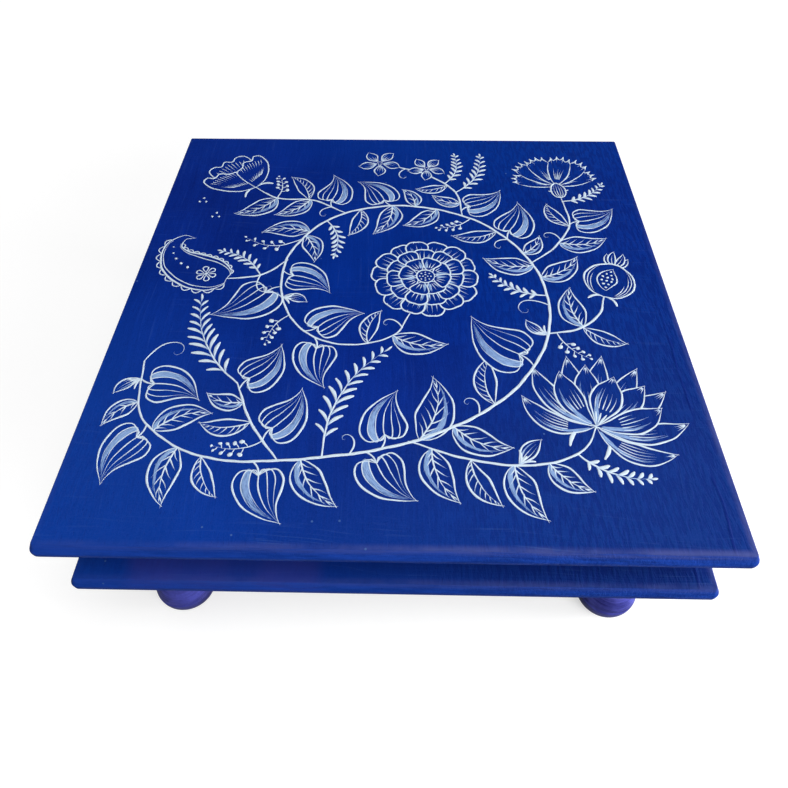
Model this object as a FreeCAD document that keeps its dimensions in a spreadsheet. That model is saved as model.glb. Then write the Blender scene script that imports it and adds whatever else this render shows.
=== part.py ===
import FreeCAD, Part
import math
import os
import re

import Sketcher

# Low square bajot table: two boards, one above the other, held apart by four corner posts and four
# rails, on four turned legs. The origin lies on the floor, under the middle of the table.
# +Z is up, +X is to the right and -Y is the front.

# Driving dimensions in millimetres
SIZES = {
    # Top board
    "table_side": 380,
    "top_thickness": 11,
    "top_corner_radius": 4.5,
    "top_bevel_width": 3.4,
    "top_bevel_height": 6,
    "top_arris_round": 1,
    "top_shoulder_round": 3,
    "top_lower_round": 2.5,
    # Lower board
    "lower_overhang": 1,
    "lower_thickness": 11,
    "lower_corner_radius": 4.5,
    "lower_bevel_width": 3.2,
    "lower_bevel_height": 5.5,
    "lower_arris_round": 1,
    "lower_shoulder_round": 3,
    "lower_lower_round": 2,
    # Corner posts between the boards
    "post_side": 36,
    "post_height": 40,
    "post_setback": 15.5,
    "post_round": 1.5,
    # Rails between the posts
    "rail_thickness": 18,
    "rail_recess": 2,
    "rail_tenon_thickness": 6,
    "rail_tenon_length": 7,
    "rail_tenon_shoulder": 6,
    # Turned legs
    "leg_height": 103,
    "ball_diameter": 43,
    "foot_flat_diameter": 27,
    "groove_rise": 4.2,
    "groove_width": 2.6,
    "groove_depth": 1.3,
    "waist_diameter": 21,
    "waist_length": 3,
    "ring_diameter": 32,
    "ring_thickness": 6,
    "stem_foot_diameter": 21,
    "stem_top_diameter": 22,
    "cove_height": 6,
    "cove_top_diameter": 33,
    "collar_diameter": 38,
    "collar_thickness": 8,
    "leg_tenon_diameter": 18,
    "leg_tenon_reach": 14,
    "leg_tenon_chamfer": 1.5,
    # Screws that clamp both boards to the rails
    "screw_shank_diameter": 4,
    "screw_head_diameter": 8,
    "screw_tip_diameter": 0.8,
    "screw_tip_length": 5,
    "screw_sink": 0.5,
    "screw_slot_width": 1.2,
    "screw_slot_depth": 1.1,
    # Clearances
    "glue_gap": 0.1,
    "glue_pocket": 0.5,
    "screw_gap": 0.1,
    "overrun": 1,
    # Shares
    "bevel_width_limit_share": 0.78,
    "bevel_height_limit_share": 0.6,
    "arris_limit_share": 0.8,
    "round_limit_share": 0.28,
    "screw_bite_share": 0.6,
    "screw_spacing_share": 0.67,
    "screw_slot_share": 0.62,
    "ring_bulge_share": 0.45,
    "stem_bulge_share": 0.13,
    "cove_bulge_share": 0.2,
    "collar_bulge_share": 0.3,
}

# Places and sizes that follow from the driving dimensions
DERIVED = {
    "lower_side": "table_side + 2 * lower_overhang",
    "lower_top": "leg_height + lower_thickness",
    "top_base": "lower_top + post_height",
    "post_place": "table_side / 2 - post_setback - post_side / 2",
    "rail_shift": "post_side / 2 - rail_recess - rail_thickness / 2",
    "rail_place": "post_place + rail_shift",
    "rail_length": "2 * post_place - post_side",
    "rail_tenon_height": "post_height - 2 * rail_tenon_shoulder",
    "mortise_depth": "rail_tenon_length + glue_pocket",
    "mortise_width": "rail_tenon_thickness + 2 * glue_gap",
    "mortise_height": "rail_tenon_height + 2 * glue_gap",
    "leg_tenon_radius": "leg_tenon_diameter / 2",
    "leg_bore_radius": "leg_tenon_radius + glue_gap",
    "leg_tenon_top": "leg_height + lower_thickness + leg_tenon_reach",
    "ball_radius": "ball_diameter / 2",
    "foot_radius": "foot_flat_diameter / 2",
    "waist_radius": "waist_diameter / 2",
    "ball_centre": "sqrt(ball_radius ^ 2 - foot_radius ^ 2)",
    "groove_low": "groove_rise - groove_width / 2",
    "groove_high": "groove_rise + groove_width / 2",
    "waist_base": "ball_centre + sqrt(ball_radius ^ 2 - waist_radius ^ 2)",
    "ring_base": "waist_base + waist_length",
    "ring_top": "ring_base + ring_thickness",
    "ring_flank": "ring_diameter / 2 - ring_thickness * ring_bulge_share",
    "collar_base": "leg_height - collar_thickness",
    "collar_flank": "collar_diameter / 2 - collar_thickness * collar_bulge_share",
    "stem_top": "collar_base - cove_height",
    "screw_spacing": "rail_length * screw_spacing_share",
    "screw_radius": "screw_shank_diameter / 2",
    "screw_head_radius": "screw_head_diameter / 2",
    "screw_hole_radius": "screw_radius + screw_gap",
    "screw_bite": "top_thickness * screw_bite_share",
    "screw_length": "lower_thickness + post_height + screw_bite - screw_sink",
    "screw_head_height": "screw_head_radius - screw_radius",
    "screw_slot_length": "screw_head_diameter * screw_slot_share",
    "sink_radius": "screw_head_radius + screw_gap + screw_sink",
}

# Two points nearer than this are one point
SAME_PLACE = 0.000001

# The four quarter turns about +Z: a corner and a side of the table for each
QUARTERS = (
    (0, "front_left", (-1, -1), "front", (0, -1)),
    (90, "front_right", (1, -1), "right", (1, 0)),
    (180, "back_right", (1, 1), "back", (0, 1)),
    (270, "back_left", (-1, 1), "left", (-1, 0)),
)

os.makedirs("parts", exist_ok=True)
doc = FreeCAD.newDocument("bajot_low_table")
sheet = doc.addObject("Spreadsheet::Sheet", "Sizes")
for row, (alias, value) in enumerate(SIZES.items(), start=1):
    sheet.set(f"A{row}", alias)
    sheet.set(f"B{row}", str(value))
    sheet.setAlias(f"B{row}", alias)
doc.recompute()


def sized(words):
    """Spell out a sum of named sizes as an expression that reads the sheet."""

    def spelled(match):
        word = match.group(0)
        if word in DERIVED:
            return "(" + sized(DERIVED[word]) + ")"
        if word in SIZES:
            return "Sizes." + word
        return word

    return re.sub(r"[a-z_]+", spelled, words)


def number(words):
    """Work out a sum of named sizes, for the first guess that a sketch needs."""
    return float(sheet.evalExpression(sized(words)))


def new_body(label, turn=0, place=("0", "0", "0")):
    """Start a body, whose label names its file, turned about +Z and set at a place."""
    body = doc.addObject("PartDesign::Body", label)
    body.Label = label
    body.Placement.Rotation = FreeCAD.Rotation(FreeCAD.Vector(0, 0, 1), turn)
    for axis, words in zip("xyz", place):
        body.setExpression("Placement.Base." + axis, sized(words))
    return body


def origin_plane(body, role):
    """Find one of the body's own origin planes."""
    return next(part for part in body.Origin.OriginFeatures if part.Role == role)


def new_sketch(body, name, role):
    """Start a sketch on one of the body's origin planes."""
    sketch = body.newObject("Sketcher::SketchObject", name)
    sketch.AttachmentSupport = (origin_plane(body, role), [""])
    sketch.MapMode = "FlatFace"
    return sketch


def hold_point(sketch, curve, point, across, along):
    """Bind a sketch point to two sums of named sizes, measured from the sketch's origin."""
    for kind, axis, words in (("DistanceX", -2, across), ("DistanceY", -1, along)):
        if words == "0":
            sketch.addConstraint(Sketcher.Constraint("PointOnObject", curve, point, axis))
        else:
            datum = Sketcher.Constraint(kind, -1, 1, curve, point, number(words))
            sketch.setExpression(f"Constraints[{sketch.addConstraint(datum)}]", sized(words))


def hold_radius(sketch, curve, words):
    """Bind the radius of a sketch curve to a sum of named sizes."""
    datum = Sketcher.Constraint("Radius", curve, number(words))
    sketch.setExpression(f"Constraints[{sketch.addConstraint(datum)}]", sized(words))


def arc_radius(start, end, bulge_share):
    """Say the radius of the arc between two points that stands off its chord by a share of it."""
    across = f"({end[0]} - ({start[0]}))"
    along = f"({end[1]} - ({start[1]}))"
    return f"sqrt({across} ^ 2 + {along} ^ 2) * (1 / 4 + {bulge_share} ^ 2) / (2 * {bulge_share})"


def bent_edge(start, end, radius, hollow):
    """Make the arc from start to end of an anticlockwise outline, swelling out of it or hollow."""
    chord = end - start
    reach = math.sqrt(radius ** 2 - (chord.Length / 2) ** 2)
    inward = FreeCAD.Vector(-chord.y, chord.x, 0).normalize()
    centre = (start + end) / 2 + inward * (-reach if hollow else reach)
    tips = (end, start) if hollow else (start, end)
    first, last = (math.atan2(tip.y - centre.y, tip.x - centre.x) for tip in tips)
    if last < first:
        last += 2 * math.pi
    return Part.ArcOfCircle(Part.Circle(centre, FreeCAD.Vector(0, 0, 1), radius), first, last)


def draw_outline(sketch, corners, bends=None):
    """Draw a closed outline through corners, anticlockwise. bends gives the radius of each round edge
    and whether it is hollow, by the number of the corner that it starts at."""
    bends = bends or {}
    spots = [FreeCAD.Vector(number(across), number(along), 0) for across, along in corners]
    ends = []
    for place, spot in enumerate(spots):
        target = spots[(place + 1) % len(spots)]
        radius, hollow = bends.get(place, (None, False))
        if radius is None:
            curve = sketch.addGeometry(Part.LineSegment(spot, target), False)
        else:
            curve = sketch.addGeometry(bent_edge(spot, target, number(radius), hollow), False)
            hold_radius(sketch, curve, radius)
        ends.append((curve, 2, 1) if hollow else (curve, 1, 2))
    for place, (curve, first, last) in enumerate(ends):
        following = ends[(place + 1) % len(ends)]
        sketch.addConstraint(Sketcher.Constraint("Coincident", curve, last, following[0], following[1]))
        hold_point(sketch, curve, first, *corners[place])


def pad(body, name, corners, height):
    """Raise an outline on the body's ground plane to a height."""
    sketch = new_sketch(body, name + "_outline", "XY_Plane")
    draw_outline(sketch, corners)
    feature = body.newObject("PartDesign::Pad", name)
    feature.Profile = sketch
    feature.setExpression("Length", sized(height))
    doc.recompute()


def turned(body, name, corners, bends=None):
    """Turn a profile, radius by height, about the body's upright axis."""
    sketch = new_sketch(body, name + "_profile", "XZ_Plane")
    draw_outline(sketch, corners, bends)
    feature = body.newObject("PartDesign::Revolution", name)
    feature.Profile = sketch
    feature.ReferenceAxis = (sketch, ["V_Axis"])
    doc.recompute()


def bore(body, name, centres, radius, depth):
    """Bore equal round holes up into the body from its ground plane."""
    sketch = new_sketch(body, name + "_circles", "XY_Plane")
    for across, along in centres:
        middle = FreeCAD.Vector(number(across), number(along), 0)
        circle = Part.Circle(middle, FreeCAD.Vector(0, 0, 1), number(radius))
        curve = sketch.addGeometry(circle, False)
        hold_point(sketch, curve, 3, across, along)
        hold_radius(sketch, curve, radius)
    feature = body.newObject("PartDesign::Pocket", name)
    feature.Profile = sketch
    feature.Reversed = True
    feature.setExpression("Length", sized(depth))
    doc.recompute()
    check_cut(feature)


def primitive(body, kind, name, sizes, place):
    """Add or take away a box or cone, set at a place from the body's own origin."""
    feature = body.newObject("PartDesign::" + kind, name)
    feature.AttachmentSupport = (origin_plane(body, "XY_Plane"), [""])
    feature.MapMode = "FlatFace"
    for size, words in sizes.items():
        feature.setExpression(size, sized(words))
    for axis, words in zip("xyz", place):
        feature.setExpression("AttachmentOffset.Base." + axis, sized(words))
    doc.recompute()
    if kind.startswith("Subtractive"):
        check_cut(feature)


def check_cut(feature):
    """Stop if a cut took nothing away."""
    if feature.Shape.Volume >= feature.BaseFeature.Shape.Volume:
        raise RuntimeError(f"{feature.Name} cuts nothing")


def soften(body, name, radius, chosen):
    """Round those edges of the body's last feature that the test picks."""
    base = body.Tip
    edges = [f"Edge{place}" for place, edge in enumerate(base.Shape.Edges, start=1) if chosen(edge)]
    feature = body.newObject("PartDesign::Fillet", name)
    feature.Base = (base, edges)
    feature.setExpression("Radius", sized(radius))
    doc.recompute()


def bevel(body, name, width, height, chosen):
    """Plane off those edges of the body's last feature that the test picks, by a width across its
    upper face and a height down its sides."""
    base = body.Tip
    edges = [f"Edge{place}" for place, edge in enumerate(base.Shape.Edges, start=1) if chosen(edge)]
    feature = body.newObject("PartDesign::Chamfer", name)
    feature.Base = (base, edges)
    feature.ChamferType = "Two distances"
    feature.setExpression("Size", sized(height))
    feature.setExpression("Size2", sized(width))
    doc.recompute()


def is_upright(edge):
    """Tell whether an edge's ends lie one above the other."""
    low, high = edge.Vertexes[0].Point, edge.Vertexes[-1].Point
    return math.hypot(high.x - low.x, high.y - low.y) < SAME_PLACE


def lies_at(height):
    """Make the test that picks the edges which lie wholly at one height."""
    return lambda edge: all(abs(vertex.Point.z - number(height)) < SAME_PLACE for vertex in edge.Vertexes)


def corner_places(reach):
    """Give the four places that lie at a reach from both middle lines, anticlockwise."""
    return [(f"{across} * {reach}", f"{along} * {reach}") for _, _, (across, along), _, _ in QUARTERS]


def board(name, side, thickness, base):
    """Make a square board with rounded corners and bevelled upper edges, lying at a height."""
    body = new_body(f"{name}_board", place=("0", "0", base))
    pad(body, f"{name}_plank", corner_places(f"{side} / 2"), thickness)
    corner = f"{name}_corner_radius"
    soften(body, f"{name}_corners", corner, is_upright)
    width = f"min({name}_bevel_width; bevel_width_limit_share * {corner})"
    height = f"min({name}_bevel_height; bevel_height_limit_share * {thickness})"
    bevel(body, f"{name}_bevel", width, height, lies_at(thickness))
    arris = f"min({name}_arris_round; arris_limit_share * ({corner} - {width}))"
    limit = f"round_limit_share * {thickness}"
    soften(body, f"{name}_arris", arris, lies_at(thickness))
    soften(body, f"{name}_shoulder", f"{name}_shoulder_round", lies_at(f"{thickness} - {height}"))
    soften(body, f"{name}_lower_edge", f"min({name}_lower_round; {limit})", lies_at("0"))
    return body


def screw_places():
    """Give the eight screw places, two along each rail."""
    places = []
    for _, _, _, _, (across, along) in QUARTERS:
        for hand in (-1, 1):
            east = f"{across} * rail_place - {hand * along} * screw_spacing / 2"
            north = f"{along} * rail_place + {hand * across} * screw_spacing / 2"
            places.append((east, north))
    return places


def top_board():
    """Make the top board, with blind pilot holes for the screws in its underside."""
    body = board("top", "table_side", "top_thickness", "top_base")
    bore(body, "pilot_holes", screw_places(), "screw_hole_radius", "screw_bite + screw_gap")
    return body


def lower_board():
    """Make the lower board, bored for the legs and bored and countersunk for the screws."""
    body = board("lower", "lower_side", "lower_thickness", "leg_height")
    through = "lower_thickness + overrun"
    bore(body, "leg_holes", corner_places("post_place"), "leg_bore_radius", through)
    bore(body, "screw_holes", screw_places(), "screw_hole_radius", through)
    cone = {
        "Radius1": "sink_radius",
        "Radius2": "screw_hole_radius",
        "Height": "sink_radius - screw_hole_radius",
    }
    for count, (east, north) in enumerate(screw_places(), start=1):
        primitive(body, "SubtractiveCone", f"countersink_{count}", cone, (east, north, "0"))
    return body


def corner_post(turn, corner, ways):
    """Make a corner post, bored for the leg's tenon and mortised for the two rails that meet it."""
    place = [f"{way} * post_place" for way in ways]
    body = new_body(f"corner_post_{corner}", turn, (*place, "lower_top"))
    pad(body, f"post_{corner}", corner_places("post_side / 2"), "post_height")
    soften(body, f"post_edges_{corner}", "post_round", is_upright)
    bore(body, f"post_bore_{corner}", [("0", "0")], "leg_bore_radius", "leg_tenon_reach + glue_pocket")
    depth = "mortise_depth + overrun"
    inset = "post_side / 2 - mortise_depth"
    flank = "-rail_shift - mortise_width / 2"
    sill = "rail_tenon_shoulder - glue_gap"
    sideways = {"Length": depth, "Width": "mortise_width", "Height": "mortise_height"}
    lengthways = {"Length": "mortise_width", "Width": depth, "Height": "mortise_height"}
    primitive(body, "SubtractiveBox", f"mortise_across_{corner}", sideways, (inset, flank, sill))
    primitive(body, "SubtractiveBox", f"mortise_along_{corner}", lengthways, (flank, inset, sill))
    return body


def rail(turn, side, ways):
    """Make a rail with a stub tenon at each end and two screw holes up through it."""
    place = [f"{way} * rail_place" for way in ways]
    body = new_body(f"{side}_rail", turn, (*place, "lower_top"))
    bar = {"Length": "rail_length", "Width": "rail_thickness", "Height": "post_height"}
    primitive(body, "AdditiveBox", f"{side}_bar", bar, ("-rail_length / 2", "-rail_thickness / 2", "0"))
    tongue = {
        "Length": "rail_length + 2 * rail_tenon_length",
        "Width": "rail_tenon_thickness",
        "Height": "rail_tenon_height",
    }
    start = ("-rail_length / 2 - rail_tenon_length", "-rail_tenon_thickness / 2", "rail_tenon_shoulder")
    primitive(body, "AdditiveBox", f"{side}_tenons", tongue, start)
    holes = [(f"{hand} * screw_spacing / 2", "0") for hand in (-1, 1)]
    bore(body, f"{side}_screw_holes", holes, "screw_hole_radius", "post_height + overrun")
    return body


def leg(turn, corner, ways):
    """Turn a leg: ball foot with a groove, ring, swelling stem, cove, collar and tenon."""
    place = [f"{way} * post_place" for way in ways]
    body = new_body(f"leg_{corner}", turn, (*place, "0"))
    on_ball = "sqrt(ball_radius ^ 2 - ({}) ^ 2)"
    ring_start, ring_end = ("ring_flank", "ring_base"), ("ring_flank", "ring_top")
    stem_start, stem_end = ("stem_foot_diameter / 2", "ring_top"), ("stem_top_diameter / 2", "stem_top")
    cove_end = ("cove_top_diameter / 2", "collar_base")
    collar_start, collar_end = ("collar_flank", "collar_base"), ("collar_flank", "leg_height")
    corners = [
        ("0", "0"),
        ("foot_radius", "0"),
        (on_ball.format("groove_low"), "ball_centre + groove_low"),
        (on_ball.format("groove_rise") + " - groove_depth", "ball_centre + groove_rise"),
        (on_ball.format("groove_high"), "ball_centre + groove_high"),
        ("waist_radius", "waist_base"),
        ("waist_radius", "ring_base"),
        ring_start,
        ring_end,
        stem_start,
        stem_end,
        cove_end,
        collar_start,
        collar_end,
        ("leg_tenon_radius", "leg_height"),
        ("leg_tenon_radius", "leg_tenon_top - leg_tenon_chamfer"),
        ("leg_tenon_radius - leg_tenon_chamfer", "leg_tenon_top"),
        ("0", "leg_tenon_top"),
    ]
    bends = {
        1: ("ball_radius", False),
        4: ("ball_radius", False),
        corners.index(ring_start): (arc_radius(ring_start, ring_end, "ring_bulge_share"), False),
        corners.index(stem_start): (arc_radius(stem_start, stem_end, "stem_bulge_share"), False),
        corners.index(stem_end): (arc_radius(stem_end, cove_end, "cove_bulge_share"), True),
        corners.index(collar_start): (arc_radius(collar_start, collar_end, "collar_bulge_share"), False),
    }
    turned(body, f"turning_{corner}", corners, bends)
    return body


def screw(count, east, north):
    """Make one countersunk screw, point up, with a cross cut in its head."""
    body = new_body(f"screw_{count}", place=(east, north, "leg_height + screw_sink"))
    corners = [
        ("0", "0"),
        ("screw_head_radius", "0"),
        ("screw_radius", "screw_head_height"),
        ("screw_radius", "screw_length - screw_tip_length"),
        ("screw_tip_diameter / 2", "screw_length"),
        ("0", "screw_length"),
    ]
    turned(body, f"shank_{count}", corners)
    long, short = "screw_slot_length", "screw_slot_width"
    for name, length, width in (("across", long, short), ("along", short, long)):
        slot = {"Length": length, "Width": width, "Height": "screw_slot_depth"}
        start = (f"-{length} / 2", f"-{width} / 2", "0")
        primitive(body, "SubtractiveBox", f"slot_{name}_{count}", slot, start)
    return body


def assembly_screws():
    """Group the eight equal screws under one label."""
    group = doc.addObject("Part::Compound", "assembly_screws")
    group.Label = "assembly_screws"
    group.Links = [screw(count, *place) for count, place in enumerate(screw_places(), start=1)]
    return group


def check_document(subparts):
    """Stop if any object failed, or a sub-part's shape is empty or not valid."""
    for item in doc.Objects:
        if {"Invalid", "Error"} & set(item.State):
            raise RuntimeError(f"{item.Label} failed: {item.State}")
    for item in subparts:
        if item.Shape.isNull() or not item.Shape.isValid() or not item.Shape.Solids:
            raise RuntimeError(f"{item.Label} has no valid solid")


subparts = [top_board(), lower_board()]
for turn, corner, corner_ways, side, side_ways in QUARTERS:
    subparts.append(corner_post(turn, corner, corner_ways))
    subparts.append(rail(turn, side, side_ways))
    subparts.append(leg(turn, corner, corner_ways))
subparts.append(assembly_screws())
doc.recompute()
check_document(subparts)
for item in subparts:
    item.Shape.exportStep(f"parts/{item.Label}.step")
    box = item.Shape.BoundBox
    print(item.Label, len(item.Shape.Solids), "solids", round(item.Shape.Volume), "mm3",
          "z", round(box.ZMin, 2), "to", round(box.ZMax, 2))
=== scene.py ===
"""A low square bajot table, brushed blue by hand and painted with white line flowers.

The table's pieces come from model.glb and stay where they are. This script gives each one its finish,
lays the flowers on the top as raised brush strokes, and sets up the floor, the lamps and the camera.
Lengths are in metres, except in the picture, whose strokes are drawn in millimetres on the board.
"""

import cmath
import logging
import math
import random
from dataclasses import dataclass, field, replace
from enum import Enum
from functools import partialmethod
from typing import Callable, ClassVar, Sequence

import bpy
import numpy as np
from mathutils import Matrix, Vector


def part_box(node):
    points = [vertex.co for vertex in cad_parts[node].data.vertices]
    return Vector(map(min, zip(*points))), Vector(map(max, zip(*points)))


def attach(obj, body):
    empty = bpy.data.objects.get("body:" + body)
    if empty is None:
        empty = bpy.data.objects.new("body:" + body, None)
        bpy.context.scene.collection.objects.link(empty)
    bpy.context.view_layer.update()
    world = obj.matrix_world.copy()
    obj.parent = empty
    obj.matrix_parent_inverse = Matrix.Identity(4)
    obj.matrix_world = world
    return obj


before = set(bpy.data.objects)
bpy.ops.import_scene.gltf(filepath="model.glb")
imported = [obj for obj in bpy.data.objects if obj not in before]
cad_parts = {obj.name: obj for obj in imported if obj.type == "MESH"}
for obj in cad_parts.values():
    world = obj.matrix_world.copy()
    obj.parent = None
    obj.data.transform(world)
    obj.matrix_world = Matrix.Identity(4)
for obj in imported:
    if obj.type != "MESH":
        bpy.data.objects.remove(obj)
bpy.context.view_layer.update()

LOG = logging.getLogger("low_table")
MM = 0.001
WHITE = (1.0, 1.0, 1.0)
Colour = tuple[float, float, float]
Range = tuple[float, float]


# Shader building

@dataclass(frozen=True)
class Signal:
    """A value, vector or colour that a shader node puts out, which sums and products can use."""

    wiring: "Wiring"
    socket: bpy.types.NodeSocket

    def combine(self, operation: str, other: object = 0.0) -> "Signal":
        """Join this value or vector and another with the operation of that name."""
        kind = "Math" if self.socket.type == "VALUE" else "VectorMath"
        return self.wiring.output(kind, 0, {0: self, 1: other}, operation=operation)

    __add__ = __radd__ = partialmethod(combine, "ADD")
    __sub__ = partialmethod(combine, "SUBTRACT")
    __mul__ = __rmul__ = partialmethod(combine, "MULTIPLY")
    __abs__ = partialmethod(combine, "ABSOLUTE")

    def __rsub__(self, other: float) -> "Signal":
        """Subtract this value from a number."""
        return self.wiring.output("Math", 0, {0: other, 1: self}, operation="SUBTRACT")

    def __neg__(self) -> "Signal":
        """Turn the sign round."""
        return 0.0 - self

    def ramp(self, low: float, high: float, start: float = 0.0, end: float = 1.0) -> "Signal":
        """Go smoothly from the start, at low and below it, to the end, at high and above it."""
        values = {0: self, 1: low, 2: high, 3: start, 4: end}
        return self.wiring.output("MapRange", 0, values, interpolation_type="SMOOTHSTEP")

    def parts(self) -> list["Signal"]:
        """Take a vector apart into x, y and z."""
        node = self.wiring.node("SeparateXYZ", {0: self})
        return [Signal(self.wiring, socket) for socket in node.outputs]


@dataclass(frozen=True)
class Wiring:
    """Adds nodes to one shader tree and joins their sockets."""

    tree: bpy.types.NodeTree

    def node(self, kind: str, values: dict | None = None, **settings: object) -> bpy.types.Node:
        """Add a node.

        Args:
            kind: the node's type, without the ShaderNode before it.
            values: signals or plain values for its inputs, by name or number.
            settings: the node's own attributes.

        Returns:
            The node.
        """
        made = self.tree.nodes.new("ShaderNode" + kind)
        for name, value in settings.items():
            setattr(made, name, value)
        return self.fill(made, values or {})

    def fill(self, node: bpy.types.Node, values: dict) -> bpy.types.Node:
        """Feed several of a node's inputs.

        Args:
            node: the node.
            values: signals or plain values, by the inputs' names or numbers.

        Returns:
            The node.
        """
        for key, value in values.items():
            self.feed(node.inputs[key], value)
        return node

    def feed(self, socket: bpy.types.NodeSocket, value: object) -> None:
        """Join a signal to an input, or set the input's own value.

        Args:
            socket: the input.
            value: the signal, or a number, a vector or a colour.
        """
        if isinstance(value, Signal):
            self.tree.links.new(value.socket, socket)
        elif socket.type == "RGBA":
            socket.default_value = (*value, 1.0)
        elif socket.type == "VECTOR" and not hasattr(value, "__len__"):
            socket.default_value = (value, value, value)
        else:
            socket.default_value = value

    def output(self, kind: str, name: str | int, values: dict | None = None, **settings: object) -> Signal:
        """Add a node and take one of its outputs, by name or number."""
        return Signal(self, self.node(kind, values, **settings).outputs[name])

    def noise(self, place: Signal, scale: float = 1.0, detail: float = 2.0, rough: float = 0.5) -> Signal:
        """Cloudy noise around a half: its scale, how many finer layers it has and how strong each is."""
        values = {"Vector": place, "Scale": scale, "Detail": detail, "Roughness": rough}
        return self.output("TexNoise", 0, values)

    def vector(self, x: object, y: object, z: object) -> Signal:
        """Put a vector together."""
        return self.output("CombineXYZ", 0, {0: x, 1: y, 2: z})

    def blend(self, share: object, first: object, second: object) -> Signal:
        """Mix two colours: the first at a share of 0, the second at 1."""
        return self.output("Mix", 2, {0: share, 6: first, 7: second}, data_type="RGBA")

    def relief(self, height: Signal, depth: float) -> Signal:
        """Raise a surface by a height from 0 to 1, where 1 stands for a depth in metres."""
        return self.output("Bump", 0, {"Strength": 1.0, "Distance": depth, "Height": height})

    def layers(self, ground: object, *coats: tuple) -> Signal:
        """Lay coats of colour over each other.

        Args:
            ground: the colour below them.
            coats: each coat's cover, from 0 to 1, and its colour.

        Returns:
            The colour that shows.
        """
        for cover, colour in coats:
            ground = self.blend(cover, ground, colour)
        return ground

    def place(self, effect: "Effect", **values: object) -> dict[str, Signal]:
        """Place an effect's group.

        Args:
            effect: the effect.
            values: signals or plain values for its named inputs.

        Returns:
            Its outputs by name.
        """
        made = self.tree.nodes.new("ShaderNodeGroup")
        made.node_tree = effect.group()
        return {socket.name: Signal(self, socket) for socket in self.fill(made, values).outputs}


class Effect:
    """A shader node group that the materials share, built when it is first placed."""

    SOCKETS: ClassVar[dict] = {"VALUE": "NodeSocketFloat", "VECTOR": "NodeSocketVector"}

    def __init__(self, name: str, wire: Callable[..., dict[str, Signal]], **inputs: object) -> None:
        """Take its name, the function that wires it, and its inputs' first values by name."""
        self.name, self.wire, self.inputs = name, wire, inputs
        self.tree: bpy.types.NodeTree | None = None

    def group(self) -> bpy.types.NodeTree:
        """Build the group if it isn't there yet.

        Returns:
            The group.
        """
        if self.tree is None:
            self.tree = bpy.data.node_groups.new(self.name, "ShaderNodeTree")
            for name, value in self.inputs.items():
                kind = self.SOCKETS["VECTOR" if isinstance(value, tuple) else "VALUE"]
                socket = self.tree.interface.new_socket(name=name, in_out="INPUT", socket_type=kind)
                socket.default_value = value
            wiring = Wiring(self.tree)
            start, end = self.tree.nodes.new("NodeGroupInput"), self.tree.nodes.new("NodeGroupOutput")
            made = self.wire(wiring, *(Signal(wiring, start.outputs[name]) for name in self.inputs))
            for name, signal in made.items():
                kind = self.SOCKETS[signal.socket.type]
                self.tree.interface.new_socket(name=name, in_out="OUTPUT", socket_type=kind)
                wiring.feed(end.inputs[name], signal)
        return self.tree


# Effects that the finishes share

# how far a pull of the brush sways, in metres, and how fine its broad streaks are beside the narrow ones
SWAY, BROAD = 12 * MM, 0.16
# the patches to the metre, and how fine pores and bands are beside the ripples
PATCHES, PORES, BANDS = 9.0, 2.3, 0.15


def wire_brush_marks(w: Wiring, place: Signal, fineness: Signal, turn: Signal) -> dict[str, Signal]:
    """Bristle streaks of a flat brush, broad pulls with fine lines in them.

    Args:
        w: the group's wiring.
        place: the place on the piece, in metres.
        fineness: how many streaks to the metre along x, y and z.
        turn: how far the pulls are turned about the vertical, in radians.

    Returns:
        Tone, light to dark, and Height, each from 0 to 1.
    """
    sway = (w.noise(place, 11.0, 1.0) - 0.5) * SWAY
    bent = place + w.vector(sway, sway, 0.0)
    streaks = w.output("VectorRotate", 0, {"Vector": bent, "Angle": turn}, rotation_type="Z_AXIS") * fineness
    fine = w.noise(streaks, 1.0, 4.0, 0.65)
    broad = w.noise(streaks * BROAD, 1.0, 2.0)
    tone = fine * 0.6 + broad * 0.4
    return {"Tone": tone.ramp(0.3, 0.7), "Height": fine}


def wire_clouds(w: Wiring, place: Signal, size: Signal) -> dict[str, Signal]:
    """Uneven coats: soft clouds, and broad patches where one pull of the brush gives way to another.

    Args:
        w: the group's wiring.
        place: the place on the piece, in metres.
        size: how many clouds to the metre.

    Returns:
        Cloud and Patch, each from 0 to 1.
    """
    soft = w.noise(place * w.vector(size, size, size), 1.0, 4.0, 0.6)
    patch = w.noise(place * PATCHES + 3.7, 1.0, 1.5)
    return {"Cloud": soft.ramp(0.32, 0.68), "Patch": patch.ramp(0.42, 0.58)}


def wire_wood_grain(w: Wiring, place: Signal, fineness: Signal) -> dict[str, Signal]:
    """Softwood that shows through paint: raised ripples, short dark pores and slow bands along the grain.

    Args:
        w: the group's wiring.
        place: the place on the piece, in metres.
        fineness: how many ripples to the metre along x, y and z.

    Returns:
        Ripple, Pore, a mask, and Band, each from 0 to 1.
    """
    ripple = w.noise(place * fineness, 1.0, 2.0, 0.55)
    pore = w.noise(place * fineness * PORES, 1.0, 2.0, 0.7)
    band = w.noise(place * fineness * BANDS, 1.0, 3.0, 0.55)
    return {"Ripple": ripple.ramp(0.4, 0.6), "Pore": pore.ramp(0.6, 0.7), "Band": band.ramp(0.32, 0.68)}


def wire_specks(w: Wiring, place: Signal, fineness: Signal, size: Signal, share: Signal) -> dict[str, Signal]:
    """Scattered dots, such as pits, dust in the paint or small chips.

    Args:
        w: the group's wiring.
        place: the place on the piece, in metres.
        fineness: how many cells to the metre.
        size: how far a dot reaches from its cell's middle, in cells.
        share: what share of the cells holds one.

    Returns:
        Speck, a mask from 0 to 1.
    """
    cells = w.node("TexVoronoi", {"Vector": place, "Scale": fineness})
    distance, draw = Signal(w, cells.outputs["Distance"]), Signal(w, cells.outputs["Color"]).parts()[0]
    return {"Speck": distance.combine("LESS_THAN", size) * draw.combine("LESS_THAN", share)}


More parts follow.
